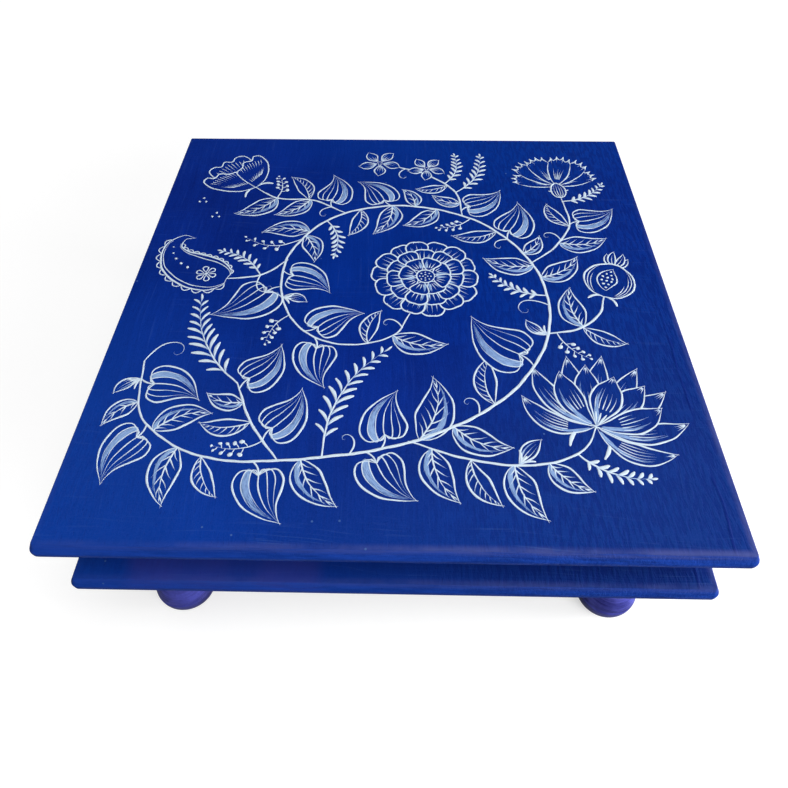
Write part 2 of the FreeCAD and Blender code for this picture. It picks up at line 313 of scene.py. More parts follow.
def wire_arris(
    w: Wiring, place: Signal, half: Signal, inset: Signal, low: Signal, high: Signal, band: Signal
) -> dict[str, Signal]:
    """How near a place on a square board is to its upper and lower outer edges.

    Args:
        w: the group's wiring.
        place: the place on the piece, in metres.
        half: half of the board's side.
        inset: how far its bevel sets the upper edge in.
        low: the height of its underside.
        high: the height of its upper face.
        band: how far from the edge the effect reaches.

    Returns:
        Upper and Lower, from 0 to 1 on that edge.
    """
    x, y, z = place.parts()
    across = half - abs(x).combine("MAXIMUM", abs(y))
    near = {}
    for name, up, side in (("Upper", high - z, across - inset), ("Lower", z - low, across)):
        squares = side * side + up * up
        gap = squares.combine("POWER", 0.5)
        near[name] = 1.0 - gap.combine("DIVIDE", band).ramp(0.15, 1.0)
    return near


BRUSH_MARKS = Effect("brush marks", wire_brush_marks, Place=(0, 0, 0), Fineness=(60, 900, 900), Turn=0.0)
CLOUDS = Effect("clouds", wire_clouds, Place=(0, 0, 0), Size=14.0)
WOOD_GRAIN = Effect("wood grain", wire_wood_grain, Place=(0, 0, 0), Fineness=(430, 110, 430))
SPECKS = Effect("specks", wire_specks, Place=(0, 0, 0), Fineness=90.0, Size=0.1, Share=0.2)
ARRIS = Effect("arris", wire_arris, Place=(0, 0, 0), Half=0.19, Inset=0.003, Low=0.0, High=0.011, Band=0.004)


# Finishes

@dataclass(frozen=True)
class Finish:
    """A material that pieces can take."""

    name: str

    def material(self) -> bpy.types.Material:
        """Build the material.

        Returns:
            The material.
        """
        made = bpy.data.materials.new(self.name)
        made.use_nodes = True
        self.wire(Wiring(made.node_tree), made.node_tree.nodes["Principled BSDF"])
        return made

    def wire(self, w: Wiring, shader: bpy.types.Node) -> None:
        """Wire the material's nodes to its shader."""
        raise NotImplementedError


@dataclass(frozen=True)
class BoardPaint(Finish):
    """Blue emulsion on a softwood board, brushed from front to back, with the grain showing."""

    half: float
    low: float
    high: float
    bevel: float = 3.4 * MM
    wear: float = 1.0
    patchy: float = 0.0
    under_cover: float = 0.85
    specular: float = 0.035
    depth: float = 0.2 * MM
    # the paint where it lies thick, where it is light and where it leans to green; a painted light,
    # brightest, at the front left; and where it is dull
    deep: Colour = (0.0002, 0.0100, 0.145)
    light: Colour = (0.0008, 0.0250, 0.276)
    green: Colour = (0.0002, 0.0310, 0.264)
    bright: Colour = (0.0002, 0.055, 0.370)
    dull: Colour = (0.006, 0.032, 0.150)
    # on the upright faces, painted lighter as painted light, and on the worn arris with its painted highlight
    # and sheen;
    # then the undercoat, a speck of dust, a clot, and the tint of the gloss
    edge: Colour = (0.013, 0.058, 0.395)
    worn: Colour = (0.066, 0.082, 0.270)
    undercoat: Colour = (0.060, 0.046, 0.270)
    speck: Colour = (0.07, 0.15, 0.36)
    clot: Colour = (0.00008, 0.004, 0.058)
    gloss: Colour = (0.2, 0.8, 1.0)
    # the softwood and its dark bands
    wood: Colour = (0.36, 0.23, 0.12)
    late_wood: Colour = (0.216, 0.138, 0.072)

    # over which stretch of the board, in metres, each look comes in
    GREENER: ClassVar[Range] = (0.0, 0.34)
    BRIGHTER: ClassVar[Range] = (0.1, 0.34)
    DULLER: ClassVar[Range] = (0.04, 0.34)
    RIPPLED: ClassVar[Range] = (-0.04, 0.13)
    RIDGED: ClassVar[Range] = (-0.05, 0.08)
    WORN: ClassVar[Range] = (-0.05, 0.36)
    PATCH_LEFT: ClassVar[Range] = (-0.148, -0.138)
    PATCH_RIGHT: ClassVar[Range] = (-0.034, -0.02)
    # how far in from the edge hands reach, where a painted sheen lies too, and how far the worn arris with
    # its painted highlight does
    MARGIN: ClassVar[float] = 30 * MM
    ARRIS_BAND: ClassVar[float] = 4.2 * MM
    # how far in the ridge of paint runs, how it sways and fades out, and how ragged the bare patch is
    RIDGE_INSET: ClassVar[float] = 13.5 * MM
    RIDGE_SWAY: ClassVar[float] = 7 * MM
    RIDGE_WIDTH: ClassVar[Range] = (0.2 * MM, 1.2 * MM)
    RAGGED: ClassVar[float] = 30 * MM
    # how level a face is that counts as flat, and from where on it counts as the underside
    FLAT: ClassVar[Range] = (0.55, 0.9)
    UNDERSIDE: ClassVar[Range] = (-0.4, -0.8)

    def wire(self, w: Wiring, shader: bpy.types.Node) -> None:
        """Wire the material's nodes to its shader.

        Args:
            w: the material's wiring.
            shader: the shader.
        """
        place = w.output("TexCoord", "Object")
        x, y, _ = place.parts()
        upright = w.output("NewGeometry", "Normal").parts()[2]
        steep = 1.0 - abs(upright).ramp(*self.FLAT)
        inside = self.half - self.MARGIN
        clouds = w.place(CLOUDS, Place=place, Size=13.0)
        grain = w.place(WOOD_GRAIN, Place=place, Fineness=(430.0, 105.0, 430.0))
        pulls = w.place(BRUSH_MARKS, Place=place, Fineness=(22.0, 640.0, 640.0), Turn=0.04)
        crossing = w.place(BRUSH_MARKS, Place=place, Fineness=(560.0, 18.0, 560.0), Turn=-0.03)

        share = clouds["Patch"] * 0.35 + (-y).ramp(inside, self.half) * 0.65
        marks = pulls["Tone"] * share + crossing["Tone"] * (1.0 - share)
        crossed = crossing["Height"].ramp(0.6, 0.72) * (1.0 - share) * 0.4
        bristles = pulls["Height"].ramp(0.58, 0.7) * share + crossed
        rippled = (x.ramp(*self.RIPPLED) * 0.7 + clouds["Patch"] * 0.2 + 0.1) * grain["Ripple"]
        ridge = self.ridge(w, place) * (1.0 - steep)
        dusty = w.noise(place, 1500.0, 1.0).ramp(0.3, 0.7)
        leaning = w.noise(place, 3.2, 1.0).ramp(0.4, 0.6) * 0.45 + (x + y).ramp(*self.GREENER) * 0.4
        # paint worn by hands towards the front and sides, with a painted sheen there
        handled_and_sheen = (-y).ramp(-self.MARGIN, inside) * 0.7 + abs(x).ramp(2 * self.MARGIN, inside) * 0.2
        streaked = w.noise(place * (40.0, 40.0, 420.0), 1.0, 4.0, 0.7).ramp(0.36, 0.62)
        dust = w.place(SPECKS, Place=place, Fineness=70.0, Size=0.045, Share=0.16)
        clots = w.place(SPECKS, Place=place + 0.4, Fineness=16.0, Size=0.05, Share=0.12)
        dry = w.noise(place * (24.0, 700.0, 60.0), 1.0, 4.0, 0.7).ramp(0.46, 0.66)
        bare = w.blend(grain["Band"], self.wood, self.late_wood)

        colour = w.layers(
            self.deep,
            (marks * 0.34 + clouds["Cloud"] * 0.4 + dusty * 0.26, self.light),
            (leaning, self.green),
            # painted light: the front left is painted brighter, as if more light fell there
            ((-x - y).ramp(*self.BRIGHTER) * 0.5, self.bright),
            ((x - y).ramp(*self.DULLER) * 0.45, self.dull),
            (rippled * 0.55, self.deep),
            (ridge * 0.75, self.deep),
            (grain["Pore"] * 0.25, self.deep),
            # wear from hands, and a painted sheen, towards the front
            (handled_and_sheen * (0.05 + dusty * 0.06), self.worn),
            (bristles * 0.2, self.speck),
            (self.bare_patch(w, place) * (0.1 + clouds["Cloud"] * 0.32), self.undercoat),
            # painted light: upright faces are painted lighter than the top, as if more light fell on them
            (steep * (0.15 + marks * 0.35 + streaked * 0.5), self.edge),
            # arrises worn and painted with a highlight, at the front and the right
            (self.rubbed(w, place), self.worn),
            (dust["Speck"] * 0.6, self.speck),
            (clots["Speck"] * 0.7, self.clot),
            (upright.ramp(*self.UNDERSIDE) * dry * self.under_cover, bare),
        )
        height = marks * 0.45 + steep * streaked * 0.5 + ridge * 1.2 - rippled * 0.7
        height = height + grain["Band"] * 0.3 - grain["Pore"] * 0.3
        w.fill(shader, {
            "Base Color": colour,
            "Roughness": 0.44 + (1.0 - marks) * 0.2 + grain["Pore"] * 0.1,
            "Normal": w.relief(height, self.depth),
            "Specular IOR Level": self.specular,
            "Specular Tint": self.gloss,
        })

    def ridge(self, w: Wiring, place: Signal) -> Signal:
        """Run a thin broken ridge of paint along the right edge, towards the front.

        Args:
            w: the material's wiring.
            place: the place on the board.

        Returns:
            A mask from 0 to 1.
        """
        x, y, _ = place.parts()
        away = x + (w.noise(place, 26.0, 3.0) - 0.5) * self.RIDGE_SWAY - (self.half - self.RIDGE_INSET)
        broken = w.noise(place, 40.0, 3.0).ramp(0.4, 0.54)
        return (1.0 - abs(away).ramp(*self.RIDGE_WIDTH)) * broken * (-y).ramp(*self.RIDGED)

    def bare_patch(self, w: Wiring, place: Signal) -> Signal:
        """Mask a patch at the left where the last coat is missing, as far as the board is patchy."""
        ragged = place.parts()[0] + w.noise(place, 30.0, 3.0) * self.RAGGED
        return ragged.ramp(*self.PATCH_LEFT) * (1.0 - ragged.ramp(*self.PATCH_RIGHT)) * self.patchy

    def rubbed(self, w: Wiring, place: Signal) -> Signal:
        """Rub the arrises where hands reach them, at the front and the right, and paint a highlight on them
        there.

        Args:
            w: the material's wiring.
            place: the place on the board.

        Returns:
            A mask from 0 to 1.
        """
        x, y, _ = place.parts()
        shape = {"Half": self.half, "Inset": self.bevel, "Low": self.low, "High": self.high}
        arris = w.place(ARRIS, Place=place, Band=self.ARRIS_BAND, **shape)
        arris_breakup = w.noise(place * (34.0, 34.0, 700.0), 1.0, 4.0, 0.65).ramp(0.34, 0.64)
        # the arris bands carry both wear and a painted highlight
        rubbed = arris["Upper"] * (0.25 + arris_breakup * 0.6) + arris["Lower"] * (0.1 + arris_breakup * 0.25)
        return rubbed * (x * 0.7 - y).ramp(*self.WORN) * self.wear


@dataclass(frozen=True)
class TurnedPaint(Finish):
    """Violet blue enamel on a turned leg, with the turning lines and drips of its brush showing."""

    deep: Colour = (0.006, 0.006, 0.115)
    light: Colour = (0.125, 0.140, 0.700)
    # soil, and painted shade where the foot meets the floor
    soil: Colour = (0.006, 0.005, 0.030)
    specular: float = 0.15
    depth: float = 0.22 * MM
    # the height up to which the foot is soiled and painted darker as shade, and how uneven that is
    soiled: Range = (4 * MM, 24 * MM)
    uneven: float = 14 * MM

    def wire(self, w: Wiring, shader: bpy.types.Node) -> None:
        """Wire the material's nodes to its shader.

        Args:
            w: the material's wiring.
            shader: the shader.
        """
        place = w.output("TexCoord", "Object")
        clouds = w.place(CLOUDS, Place=place, Size=42.0)
        rings = w.place(BRUSH_MARKS, Place=place, Fineness=(46.0, 46.0, 1300.0), Turn=0.0)
        pores = w.place(WOOD_GRAIN, Place=place, Fineness=(420.0, 420.0, 60.0))
        # painted shade: the foot is darker towards the floor, given as soil too
        low = 1.0 - (place.parts()[2] - (clouds["Cloud"] - 0.5) * self.uneven).ramp(*self.soiled)
        colour = w.layers(
            self.deep,
            (rings["Tone"] * 0.45 + clouds["Cloud"] * 0.55, self.light),
            (pores["Pore"] * 0.3, self.deep),
            (low * 0.8, self.soil),
        )
        w.fill(shader, {
            "Base Color": colour,
            "Roughness": 0.34 + (1.0 - rings["Tone"]) * 0.16,
            "Normal": w.relief(rings["Height"] * 0.7 + pores["Band"] * 0.3, self.depth),
            "Specular IOR Level": self.specular,
        })


@dataclass(frozen=True)
class LinePaint(Finish):
    """Off-white acrylic laid on with a liner brush: full where it is wet, streaked where it runs dry.

    The colours are the paint where it covers, where it is thin, and the blue that shows through.
    """

    full: Colour = (0.61, 0.72, 0.82)
    thin: Colour = (0.24, 0.38, 0.66)
    bare: Colour = (0.004, 0.040, 0.240)
    specular: float = 0.25
    depth: float = 0.05 * MM

    def wire(self, w: Wiring, shader: bpy.types.Node) -> None:
        """Wire the material's nodes to its shader.

        Args:
            w: the material's wiring.
            shader: the shader.
        """
        along, across, load = w.output("Attribute", "Vector", attribute_name=StrokeFilm.ATTRIBUTE).parts()
        bristles = w.noise(w.vector(along * 0.22, across * 2.1, 0.0), 1.0, 3.0, 0.7)
        covering = load * 1.05 + (bristles - 0.5) * 1.1
        coats = (covering.ramp(0.0, 0.42), self.thin), (covering.ramp(0.4, 0.85), self.full)
        w.fill(shader, {
            "Base Color": w.layers(self.bare, *coats),
            "Roughness": 0.72 - bristles * 0.24,
            "Normal": w.relief(bristles, self.depth),
            "Specular IOR Level": self.specular,
        })


@dataclass(frozen=True)
class ZincPlate(Finish):
    """Dull yellow-grey zinc plate on the screws, rubbed by the driver."""

    base: Colour = (0.45, 0.43, 0.36)
    dull: Colour = (0.20, 0.18, 0.13)
    depth: float = 0.02 * MM

    def wire(self, w: Wiring, shader: bpy.types.Node) -> None:
        """Wire the material's nodes to its shader.

        Args:
            w: the material's wiring.
            shader: the shader.
        """
        place = w.output("TexCoord", "Object")
        rubbed = w.place(BRUSH_MARKS, Place=place, Fineness=(900.0, 5200.0, 5200.0), Turn=0.7)
        bloom = w.place(CLOUDS, Place=place, Size=320.0)
        w.fill(shader, {
            "Base Color": w.blend(bloom["Cloud"] * 0.8, self.base, self.dull),
            "Roughness": 0.3 + rubbed["Tone"] * 0.25,
            "Normal": w.relief(rubbed["Height"], self.depth),
            "Metallic": 1.0,
        })


@dataclass(frozen=True)
class StudioFloor(Finish):
    """Plain white paper: white to the camera, which sees it evenly lit, and dim where it lights the object.

    A camera below it sees through it.
    """

    white: Colour = (0.52, 0.52, 0.52)
    dim: Colour = (0.12, 0.12, 0.13)
    even_light: float = 0.6
    far_light: float = 0.2
    # the squares of the distances between which the far light comes in
    far: Range = (0.05, 0.9)

    def wire(self, w: Wiring, shader: bpy.types.Node) -> None:
        """Wire the material's nodes to its shader.

        Args:
            w: the material's wiring.
            shader: the shader.
        """
        bounced, seen = (w.output("LightPath", name) for name in ("Is Diffuse Ray", "Is Camera Ray"))
        x, y, _ = w.output("TexCoord", "Object").parts()
        light = (x * x + y * y).ramp(*self.far) * self.far_light + self.even_light
        w.fill(shader, {
            "Base Color": w.blend(bounced, self.white, self.dim),
            "Roughness": 1.0,
            "Specular IOR Level": 0.0,
            "Emission Color": WHITE,
            "Emission Strength": seen * light,
            "Alpha": 1.0 - w.output("NewGeometry", "Backfacing"),
        })


# The brush

SIDES = (1, -1)
SAME_PLACE = 1e-6
BOLD, FIRM, PLAIN, LIGHT, VEIN, FINE, FINEST = 1.6, 1.45, 1.25, 1.05, 0.945, 0.82, 0.75


class Touch(Enum):
    """How wide a stroke is along its length, as shares of its full width at even steps."""

    LINE = (0.55, 0.92, 1.0, 0.95, 0.9, 0.5)
    SWELL = (0.28, 0.72, 1.0, 0.98, 0.66, 0.18)
    FADE = (0.8, 1.0, 0.84, 0.58, 0.32, 0.1)
    COMMA = (0.6, 1.0, 0.98, 0.78, 0.46, 0.14)
    DOT = (0.86, 1.0, 1.0, 0.86)

    @property
    def lifts(self) -> bool:
        """Whether the brush runs dry as it is lifted off."""
        return self in (Touch.FADE, Touch.COMMA)


class Outline(Enum):
    """Half shapes of leaves and petals: shares of the rib's length, and of the half width there."""

    LEAF = ((0, 0), (0.1, 0.52), (0.32, 1.0), (0.6, 0.84), (0.85, 0.34), (1, 0))
    WILLOW = ((0, 0), (0.15, 0.5), (0.42, 1.0), (0.7, 0.8), (0.9, 0.3), (1, 0))
    HEART = ((0, 0), (-0.1, 0.36), (-0.09, 0.8), (0.12, 1.04), (0.42, 0.84), (0.72, 0.36), (0.9, 0.1), (1, 0))
    PETAL = ((0, 0), (0.2, 0.48), (0.48, 1.0), (0.72, 0.86), (0.88, 0.42), (1, 0))
    ROUND = ((0, 0), (0.22, 0.42), (0.55, 0.86), (0.8, 1.0), (0.96, 0.66), (1.0, 0.22), (0.985, 0))
    FRUIT = ((0, 0), (0.06, 0.5), (0.28, 0.92), (0.55, 1.0), (0.8, 0.76), (0.95, 0.38), (1, 0.16))
    DROP = ((0, 0), (0.0, 0.42), (0.1, 0.86), (0.27, 1.0), (0.48, 0.84), (0.7, 0.46), (0.88, 0.17), (1, 0))

    @property
    def pointed(self) -> bool:
        """Whether the two edges meet in a point."""
        return self not in (Outline.ROUND, Outline.FRUIT)


def smooth(corners: Sequence[complex], steps: int = 8) -> np.ndarray:
    """Lay a smooth line through chosen points.

    Args:
        corners: the points.
        steps: how many steps the line takes from each point to the next.

    Returns:
        The line's points.
    """
    held = [complex(corner) for corner in corners]
    held = np.array([2 * held[0] - held[1], *held, 2 * held[-1] - held[-2]])
    t = np.arange(steps) / steps
    before, start, end, after = (held[k : len(held) - 3 + k, None] for k in range(4))
    first, second = end - before, 2 * before - 5 * start + 4 * end - after
    third = 3 * start - before - 3 * end + after
    return np.append((start + 0.5 * t * (first + t * (second + t * third))).ravel(), held[-2])


def bow(start: complex, end: complex, bend: float = 0.0, steps: int = 16) -> np.ndarray:
    """Draw an arc whose middle stands out to the left by a share of its length, the bend."""
    t = np.linspace(0, 1, steps)
    return start + (end - start) * (t + 4j * bend * t * (1 - t))


def circle(centre: complex, radius: float, steps: int) -> np.ndarray:
    """Draw a closed circle."""
    return centre + radius * np.exp(2j * math.pi * np.linspace(0, 1, steps))


def turned(heading: complex, degrees: float) -> complex:
    """Turn a heading to the left."""
    return heading * cmath.exp(1j * math.radians(degrees))


def around(heading: complex, count: int, shift: float = 0.0) -> list[complex]:
    """Spread headings evenly over a full turn, the first one turned by a share of a step."""
    return [turned(heading, 360 * (k + shift) / count) for k in range(count)]


def follow(path: np.ndarray, shares: Sequence[float]) -> tuple[np.ndarray, np.ndarray]:
    """Find places on a line, by shares of its length, or past its ends.

    Args:
        path: the line's points.
        shares: how far along it each place is.

    Returns:
        The places and the line's headings there.
    """
    shares = np.asarray(shares, float)
    path = path[np.append(True, abs(np.diff(path)) > SAME_PLACE)]
    legs = np.diff(path)
    gone = np.append(0, np.cumsum(abs(legs)))
    heading = np.interp(shares * gone[-1], (gone[1:] + gone[:-1]) / 2, legs / abs(legs))
    heading = heading / abs(heading)
    beyond = shares - np.clip(shares, 0, 1)
    return np.interp(shares * gone[-1], gone, path) + heading * beyond * gone[-1], heading


def within(places: np.ndarray, ring: np.ndarray) -> np.ndarray:
    """Say which places lie inside a closed ring.

    Args:
        places: the places.
        ring: the ring's points.

    Returns:
        True or False for each place.
    """
    start, end = ring, np.roll(ring, -1)
    level = places.imag[:, None]
    crosses = (start.imag > level) != (end.imag > level)
    rise = np.where(start.imag == end.imag, 1.0, end.imag - start.imag)
    reach = start.real + (level - start.imag) / rise * (end.real - start.real)
    return (crosses & (places.real[:, None] < reach)).sum(1) % 2 == 1


@dataclass(frozen=True)
class Stroke:
    """One pull of the brush, or what is left of it where something in front hides the rest."""

    line: np.ndarray
    width: float
    touch: Touch = Touch.SWELL
    load: float = 1.0
    span: tuple[float, float] = (0.0, 1.0)

    STEP: ClassVar[float] = 0.5
    FEWEST: ClassVar[int] = 8
    SHORTEST: ClassVar[int] = 4

    @property
    def dense(self) -> np.ndarray:
        """Points about a millimetre apart along the stroke."""
        return follow(self.line, np.linspace(0, 1, int(abs(np.diff(self.line)).sum()) + 2))[0]

    def outside(self, ring: np.ndarray) -> list["Stroke"]:
        """Cut away what a ring hides.

        Args:
            ring: the points of the ring.

        Returns:
            The stretches that are left.
        """
        sides = [(self.line.real, ring.real), (self.line.imag, ring.imag)]
        if any(mine.min() > its.max() or mine.max() < its.min() for mine, its in sides):
            return [self]
        steps = max(self.FEWEST, int(abs(np.diff(self.line)).sum() / self.STEP))
        shares = np.linspace(0, 1, steps)
        places, _ = follow(self.line, shares)
        clear = ~within(places, ring)
        if clear.all():
            return [self]
        turns = np.flatnonzero(np.diff(np.concatenate([[False], clear, [False]])))
        low, high = self.span
        left = []
        for first, end in zip(turns[::2], turns[1::2]):
            if end - first >= self.SHORTEST:
                span = tuple(low + (high - low) * shares[j] for j in (first, end - 1))
                left.append(replace(self, line=places[first:end], span=span))
        return left


@dataclass(frozen=True)
class Blade:
    """A leaf or petal: two edges that part at its base and meet at its tip, on either side of a rib."""

    rib: np.ndarray
    width: float
    outline: Outline = Outline.LEAF

    FINENESS: ClassVar[int] = 10
    LAST: ClassVar[float] = 0.98

    def line(self, share: float, start: float = 0.0, end: float = 1.0) -> np.ndarray:
        """Run along the blade.

        Args:
            share: 1 on its left edge, 0 on its rib, -1 on its right edge.
            start: where the line starts, as a share of the edge.
            end: where it ends.

        Returns:
            The line's points.
        """
        shape = smooth([complex(*point) for point in self.outline.value], self.FINENESS)
        last = len(shape) - 1
        shape = shape[round(start * last) : round(end * last) + 1]
        place, heading = follow(self.rib, shape.real)
        return place + 1j * heading * shape.imag * self.width * share

    def at(self, share: float, along: float) -> complex:
        """Find one place on the blade."""
        return self.line(share, min(along, self.LAST))[0]

    def ring(self) -> np.ndarray:
        """Return the closed outline."""
        return np.concatenate([self.line(1), self.line(-1)[::-1]])


class Painting:
    """The strokes of the whole picture, by the piece of it that they belong to."""

    WASH: ClassVar[dict] = {"across": 0.52, "width": 0.44, "load": 0.36}

    def __init__(self, seed: int) -> None:
        """Take up a clean board and a steady source of chance.

        Args:
            seed: what the chance is drawn from.
        """
        self.pieces: dict[str, list[Stroke]] = {}
        self.rings: list[np.ndarray] = []
        self.chance = random.Random(seed)
        self.piece = ""

    @property
    def strokes(self) -> list[Stroke]:
        """All strokes, whichever piece they belong to."""
        return [stroke for strokes in self.pieces.values() for stroke in strokes]

    def near(self, value: float, share: float = 0.1) -> float:
        """Vary a value by chance, by up to a share of it."""
        return value * self.chance.uniform(1 - share, 1 + share)

    def add(self, line: np.ndarray, width: float, touch: Touch = Touch.SWELL, load: float = 1.0) -> None:
        """Pull one stroke of a full width, with a touch, and with as much paint as the load says, up to 1."""
        self.pieces.setdefault(self.piece, []).append(Stroke(line, self.near(width), touch, load))

    def fade(self, line: np.ndarray, width: float, load: float = 1.0) -> None:
        """Pull a stroke that runs dry towards its end."""
        self.add(line, width, Touch.FADE, load)

    def cover(self, ring: np.ndarray) -> None:
        """Hide what was drawn so far inside a ring, as a petal in front hides what is behind it.

        Args:
            ring: the points of the ring.
        """
        self.rings.append(ring)
        for name, strokes in self.pieces.items():
            self.pieces[name] = [part for stroke in strokes for part in stroke.outside(ring)]

    def merge(self, sketch: "Painting") -> None:
        """Paint another picture over this one.

        Args:
            sketch: the other picture.
        """
        for ring in sketch.rings:
            self.cover(ring)
        for name, strokes in sketch.pieces.items():
            self.pieces.setdefault(name, []).extend(strokes)

    def wash(self, blade: Blade, side: float, start: float = 0.08, end: float = 0.8) -> None:
        """Pull one broad thin stroke along the left half of a blade, side 1, or its right half, side -1."""
        line = blade.line(self.WASH["across"] * side, start, end)
        self.fade(line, blade.width * self.WASH["width"], self.WASH["load"])

    def outline(self, blade: Blade, width: float, over: float = 0.03) -> None:
        """Clear a blade's place and draw its edge: past its tip where that is a point, or all round.

        Args:
            blade: the leaf or petal.
            width: the stroke's width.
            over: how far the edges run past a pointed tip, as a share of the blade's length.
        """
        self.cover(blade.ring())
        if not blade.outline.pointed:
            self.add(blade.ring(), width, Touch.LINE)
            return
        for side in SIDES:
            line = blade.line(side)
            heading = (line[-1] - line[-2]) / abs(line[-1] - line[-2])
            self.add(np.append(line, line[-1] + heading * over * abs(blade.rib[-1] - blade.rib[0])), width)

    def fan(self, blade: Blade, count: int, reach: tuple, spread: float = 0.6, start: float = 0.05) -> None:
        """Draw fine strokes that fan out from a blade's base, the outer ones shorter.

        Args:
            blade: the leaf or petal.
            count: how many strokes there are.
            reach: the least and greatest length, as shares of the edge.
            spread: how near the edges the outer strokes lie.
            start: where they start, as a share of the edge.
        """
        for share in np.linspace(-spread, spread, count):
            end = start + self.chance.uniform(*reach) * (1 - 0.35 * abs(share))
            self.fade(blade.line(share, start, end), FINE, 0.9)

    def tips(self, blade: Blade, count: int, reach: tuple, spread: float = 0.4, end: float = 0.93) -> None:
        """Draw finer strokes that run back from a blade's tip, or from the end, a share of its edge."""
        for share in np.linspace(-spread, spread, count):
            self.fade(blade.line(share, end - self.chance.uniform(*reach), end)[::-1], FINEST, 0.85)

    def dot(self, place: complex, radius: float) -> None:
        """Set the brush down once."""
        lean = turned(0.25 * radius, self.chance.uniform(0, 180))
        self.add(bow(place - lean, place + lean, 0, 4), 2 * radius, Touch.DOT)

    def comma(self, head: complex, tail: complex, bend: float, width: float) -> None:
        """Press the brush down at the head and lift it off towards the tail."""
        self.add(bow(head, tail, bend, 12), width, Touch.COMMA)

    def sepals(
        self, root: complex, ahead: complex, turns: tuple, bend: float, width: float, back: complex = 0j
    ) -> None:
        """Lay commas, each turned left by its degrees from ahead, whose tails meet at the root."""
        for degrees in turns:
            self.comma(root + turned(ahead, degrees), root - back, math.copysign(bend, degrees), width)


# Leaves and flowers of the picture

@dataclass(frozen=True)
class Motif:
    """Something painted that grows from a place along a heading, about as long as its size."""

    size: float
    piece: ClassVar[str] = "painted_leaves"
    in_front: ClassVar[bool] = False

    def grow(self, p: Painting, place: complex, heading: complex) -> None:
        """Paint it into its own piece of the picture."""
        p.piece = self.piece
        self.draw(p, place, heading * self.size)

    def draw(self, p: Painting, root: complex, ahead: complex) -> None:
        """Pull its strokes. All its measures are shares of ahead, which is as long as its size."""
        raise NotImplementedError

    def blade(
        self, start: complex, end: complex, bend: float, fullness: float, outline: Outline = Outline.LEAF
    ) -> Blade:
        """Bend a blade from its base to its tip, with a half width that is a share of the motif's size."""
        return Blade(bow(start, end, bend), self.size * fullness, outline)


class Flower(Motif):
    """A motif in front of the stems, which makes a piece of its own."""

    in_front: ClassVar[bool] = True

    def __init_subclass__(cls) -> None:
        """Name the flower's piece after it."""
        cls.piece = f"painted_{cls.__name__.lower()}"


@dataclass(frozen=True)
class Leaf(Motif):
    """A leaf with a rib and side veins."""

    bend: float = 0.1
    veins: int = 6
    fullness: float = 0.24
    # how far across and along the leaf each point of a vein lies from its start
    SWEPT: ClassVar[tuple] = ((0, 0), (0.4, 0.09), (0.74, 0.16))

    def draw(self, p: Painting, root: complex, ahead: complex) -> None:
        """Pull its strokes.

        Args:
            p: the painting.
            root: where it grows from.
            ahead: its heading, as long as its size.
        """
        blade = self.blade(root, root + ahead, self.bend, self.fullness)
        p.outline(blade, FIRM)
        p.wash(blade, math.copysign(1, self.bend))
        p.fade(blade.line(0, 0.0, 0.92), PLAIN)
        for at in np.linspace(0.14, 0.78, self.veins):
            for side, shift in ((1, 0.03), (-1, 0.0)):
                points = [blade.at(share * side, at + shift + on) for share, on in self.SWEPT]
                p.fade(smooth(points), VEIN, 0.9)


@dataclass(frozen=True)
class HatchedLeaf(Motif):
    """A narrow leaf that is hatched on one side of its rib."""

    bend: float = 0.12
    fullness: float = 0.19
    SPACING: ClassVar[float] = 2.7

    def draw(self, p: Painting, root: complex, ahead: complex) -> None:
        """Pull its strokes.

        Args:
            p: the painting.
            root: where it grows from.
            ahead: its heading, as long as its size.
        """
        blade = self.blade(root, root + ahead, self.bend, self.fullness, Outline.WILLOW)
        p.outline(blade, FIRM)
        p.fade(blade.line(0, 0.0, 0.95), LIGHT)
        side = math.copysign(1, self.bend)
        for at in np.arange(0.14, 0.84, self.SPACING / self.size):
            near, far = blade.at(0.05 * side, at), blade.at(0.92 * side, at + 0.1)
            p.fade(bow(near, far, 0.06 * side, 6), FINE, 0.85)


@dataclass(frozen=True)
class BetelLeaf(Motif):
    """A heart-shaped leaf on a stalk, whose veins all start at its notch."""

    bend: float = 0.1
    fullness: float = 0.32
    STALK: ClassVar[float] = 0.24

    def draw(self, p: Painting, root: complex, ahead: complex) -> None:
        """Pull its strokes.

        Args:
            p: the painting.
            root: where it grows from.
            ahead: its heading, as long as its size.
        """
        notch = root + ahead * self.STALK
        blade = self.blade(notch, root + ahead, self.bend, self.fullness, Outline.HEART)
        p.outline(blade, FIRM, 0.02)
        p.add(bow(root, notch, -self.bend, 8), PLAIN, Touch.LINE)
        p.wash(blade, math.copysign(1, self.bend), 0.3)
        p.fade(blade.line(0, 0.36, 0.96), LIGHT)
        for share, end in ((0.36, 0.86), (0.68, 0.76)):
            for side in SIDES:
                p.fade(blade.line(share * side, 0.02, p.near(end, 0.05)), VEIN, 0.9)


@dataclass(frozen=True)
class Frond(Motif):
    """A rib with comma strokes on both sides, each smaller than the one before."""

    bend: float = 0.15
    pairs: int = 9
    reach: float = 17.0
    piece: ClassVar[str] = "painted_fronds"

    def draw(self, p: Painting, root: complex, ahead: complex) -> None:
        """Pull its strokes.

        Args:
            p: the painting.
            root: where it grows from.
            ahead: its heading, as long as its size.
        """
        path = bow(root, root + ahead, self.bend, 30)
        p.fade(path, FIRM)
        for k in range(self.pairs):
            share = k / (self.pairs - 1)
            grown = (1 - 0.6 * share) * (0.6 + 0.4 * min(1, k / 2.5))
            for side, shift in ((1, 0.025), (-1, 0.0)):
                (spot,), (along,) = follow(path, [0.14 + 0.8 * share + shift])
                head = spot + turned(along, side * p.near(40, 0.08)) * self.reach * p.near(grown, 0.06)
                p.comma(head, spot + 0.3 * along, 0.1 * side, 3.1 * (0.5 + 0.5 * grown))
        (tip,), (along,) = follow(path, [1.0])
        p.comma(tip + along * self.reach * 0.42, tip, 0.05, 1.8)


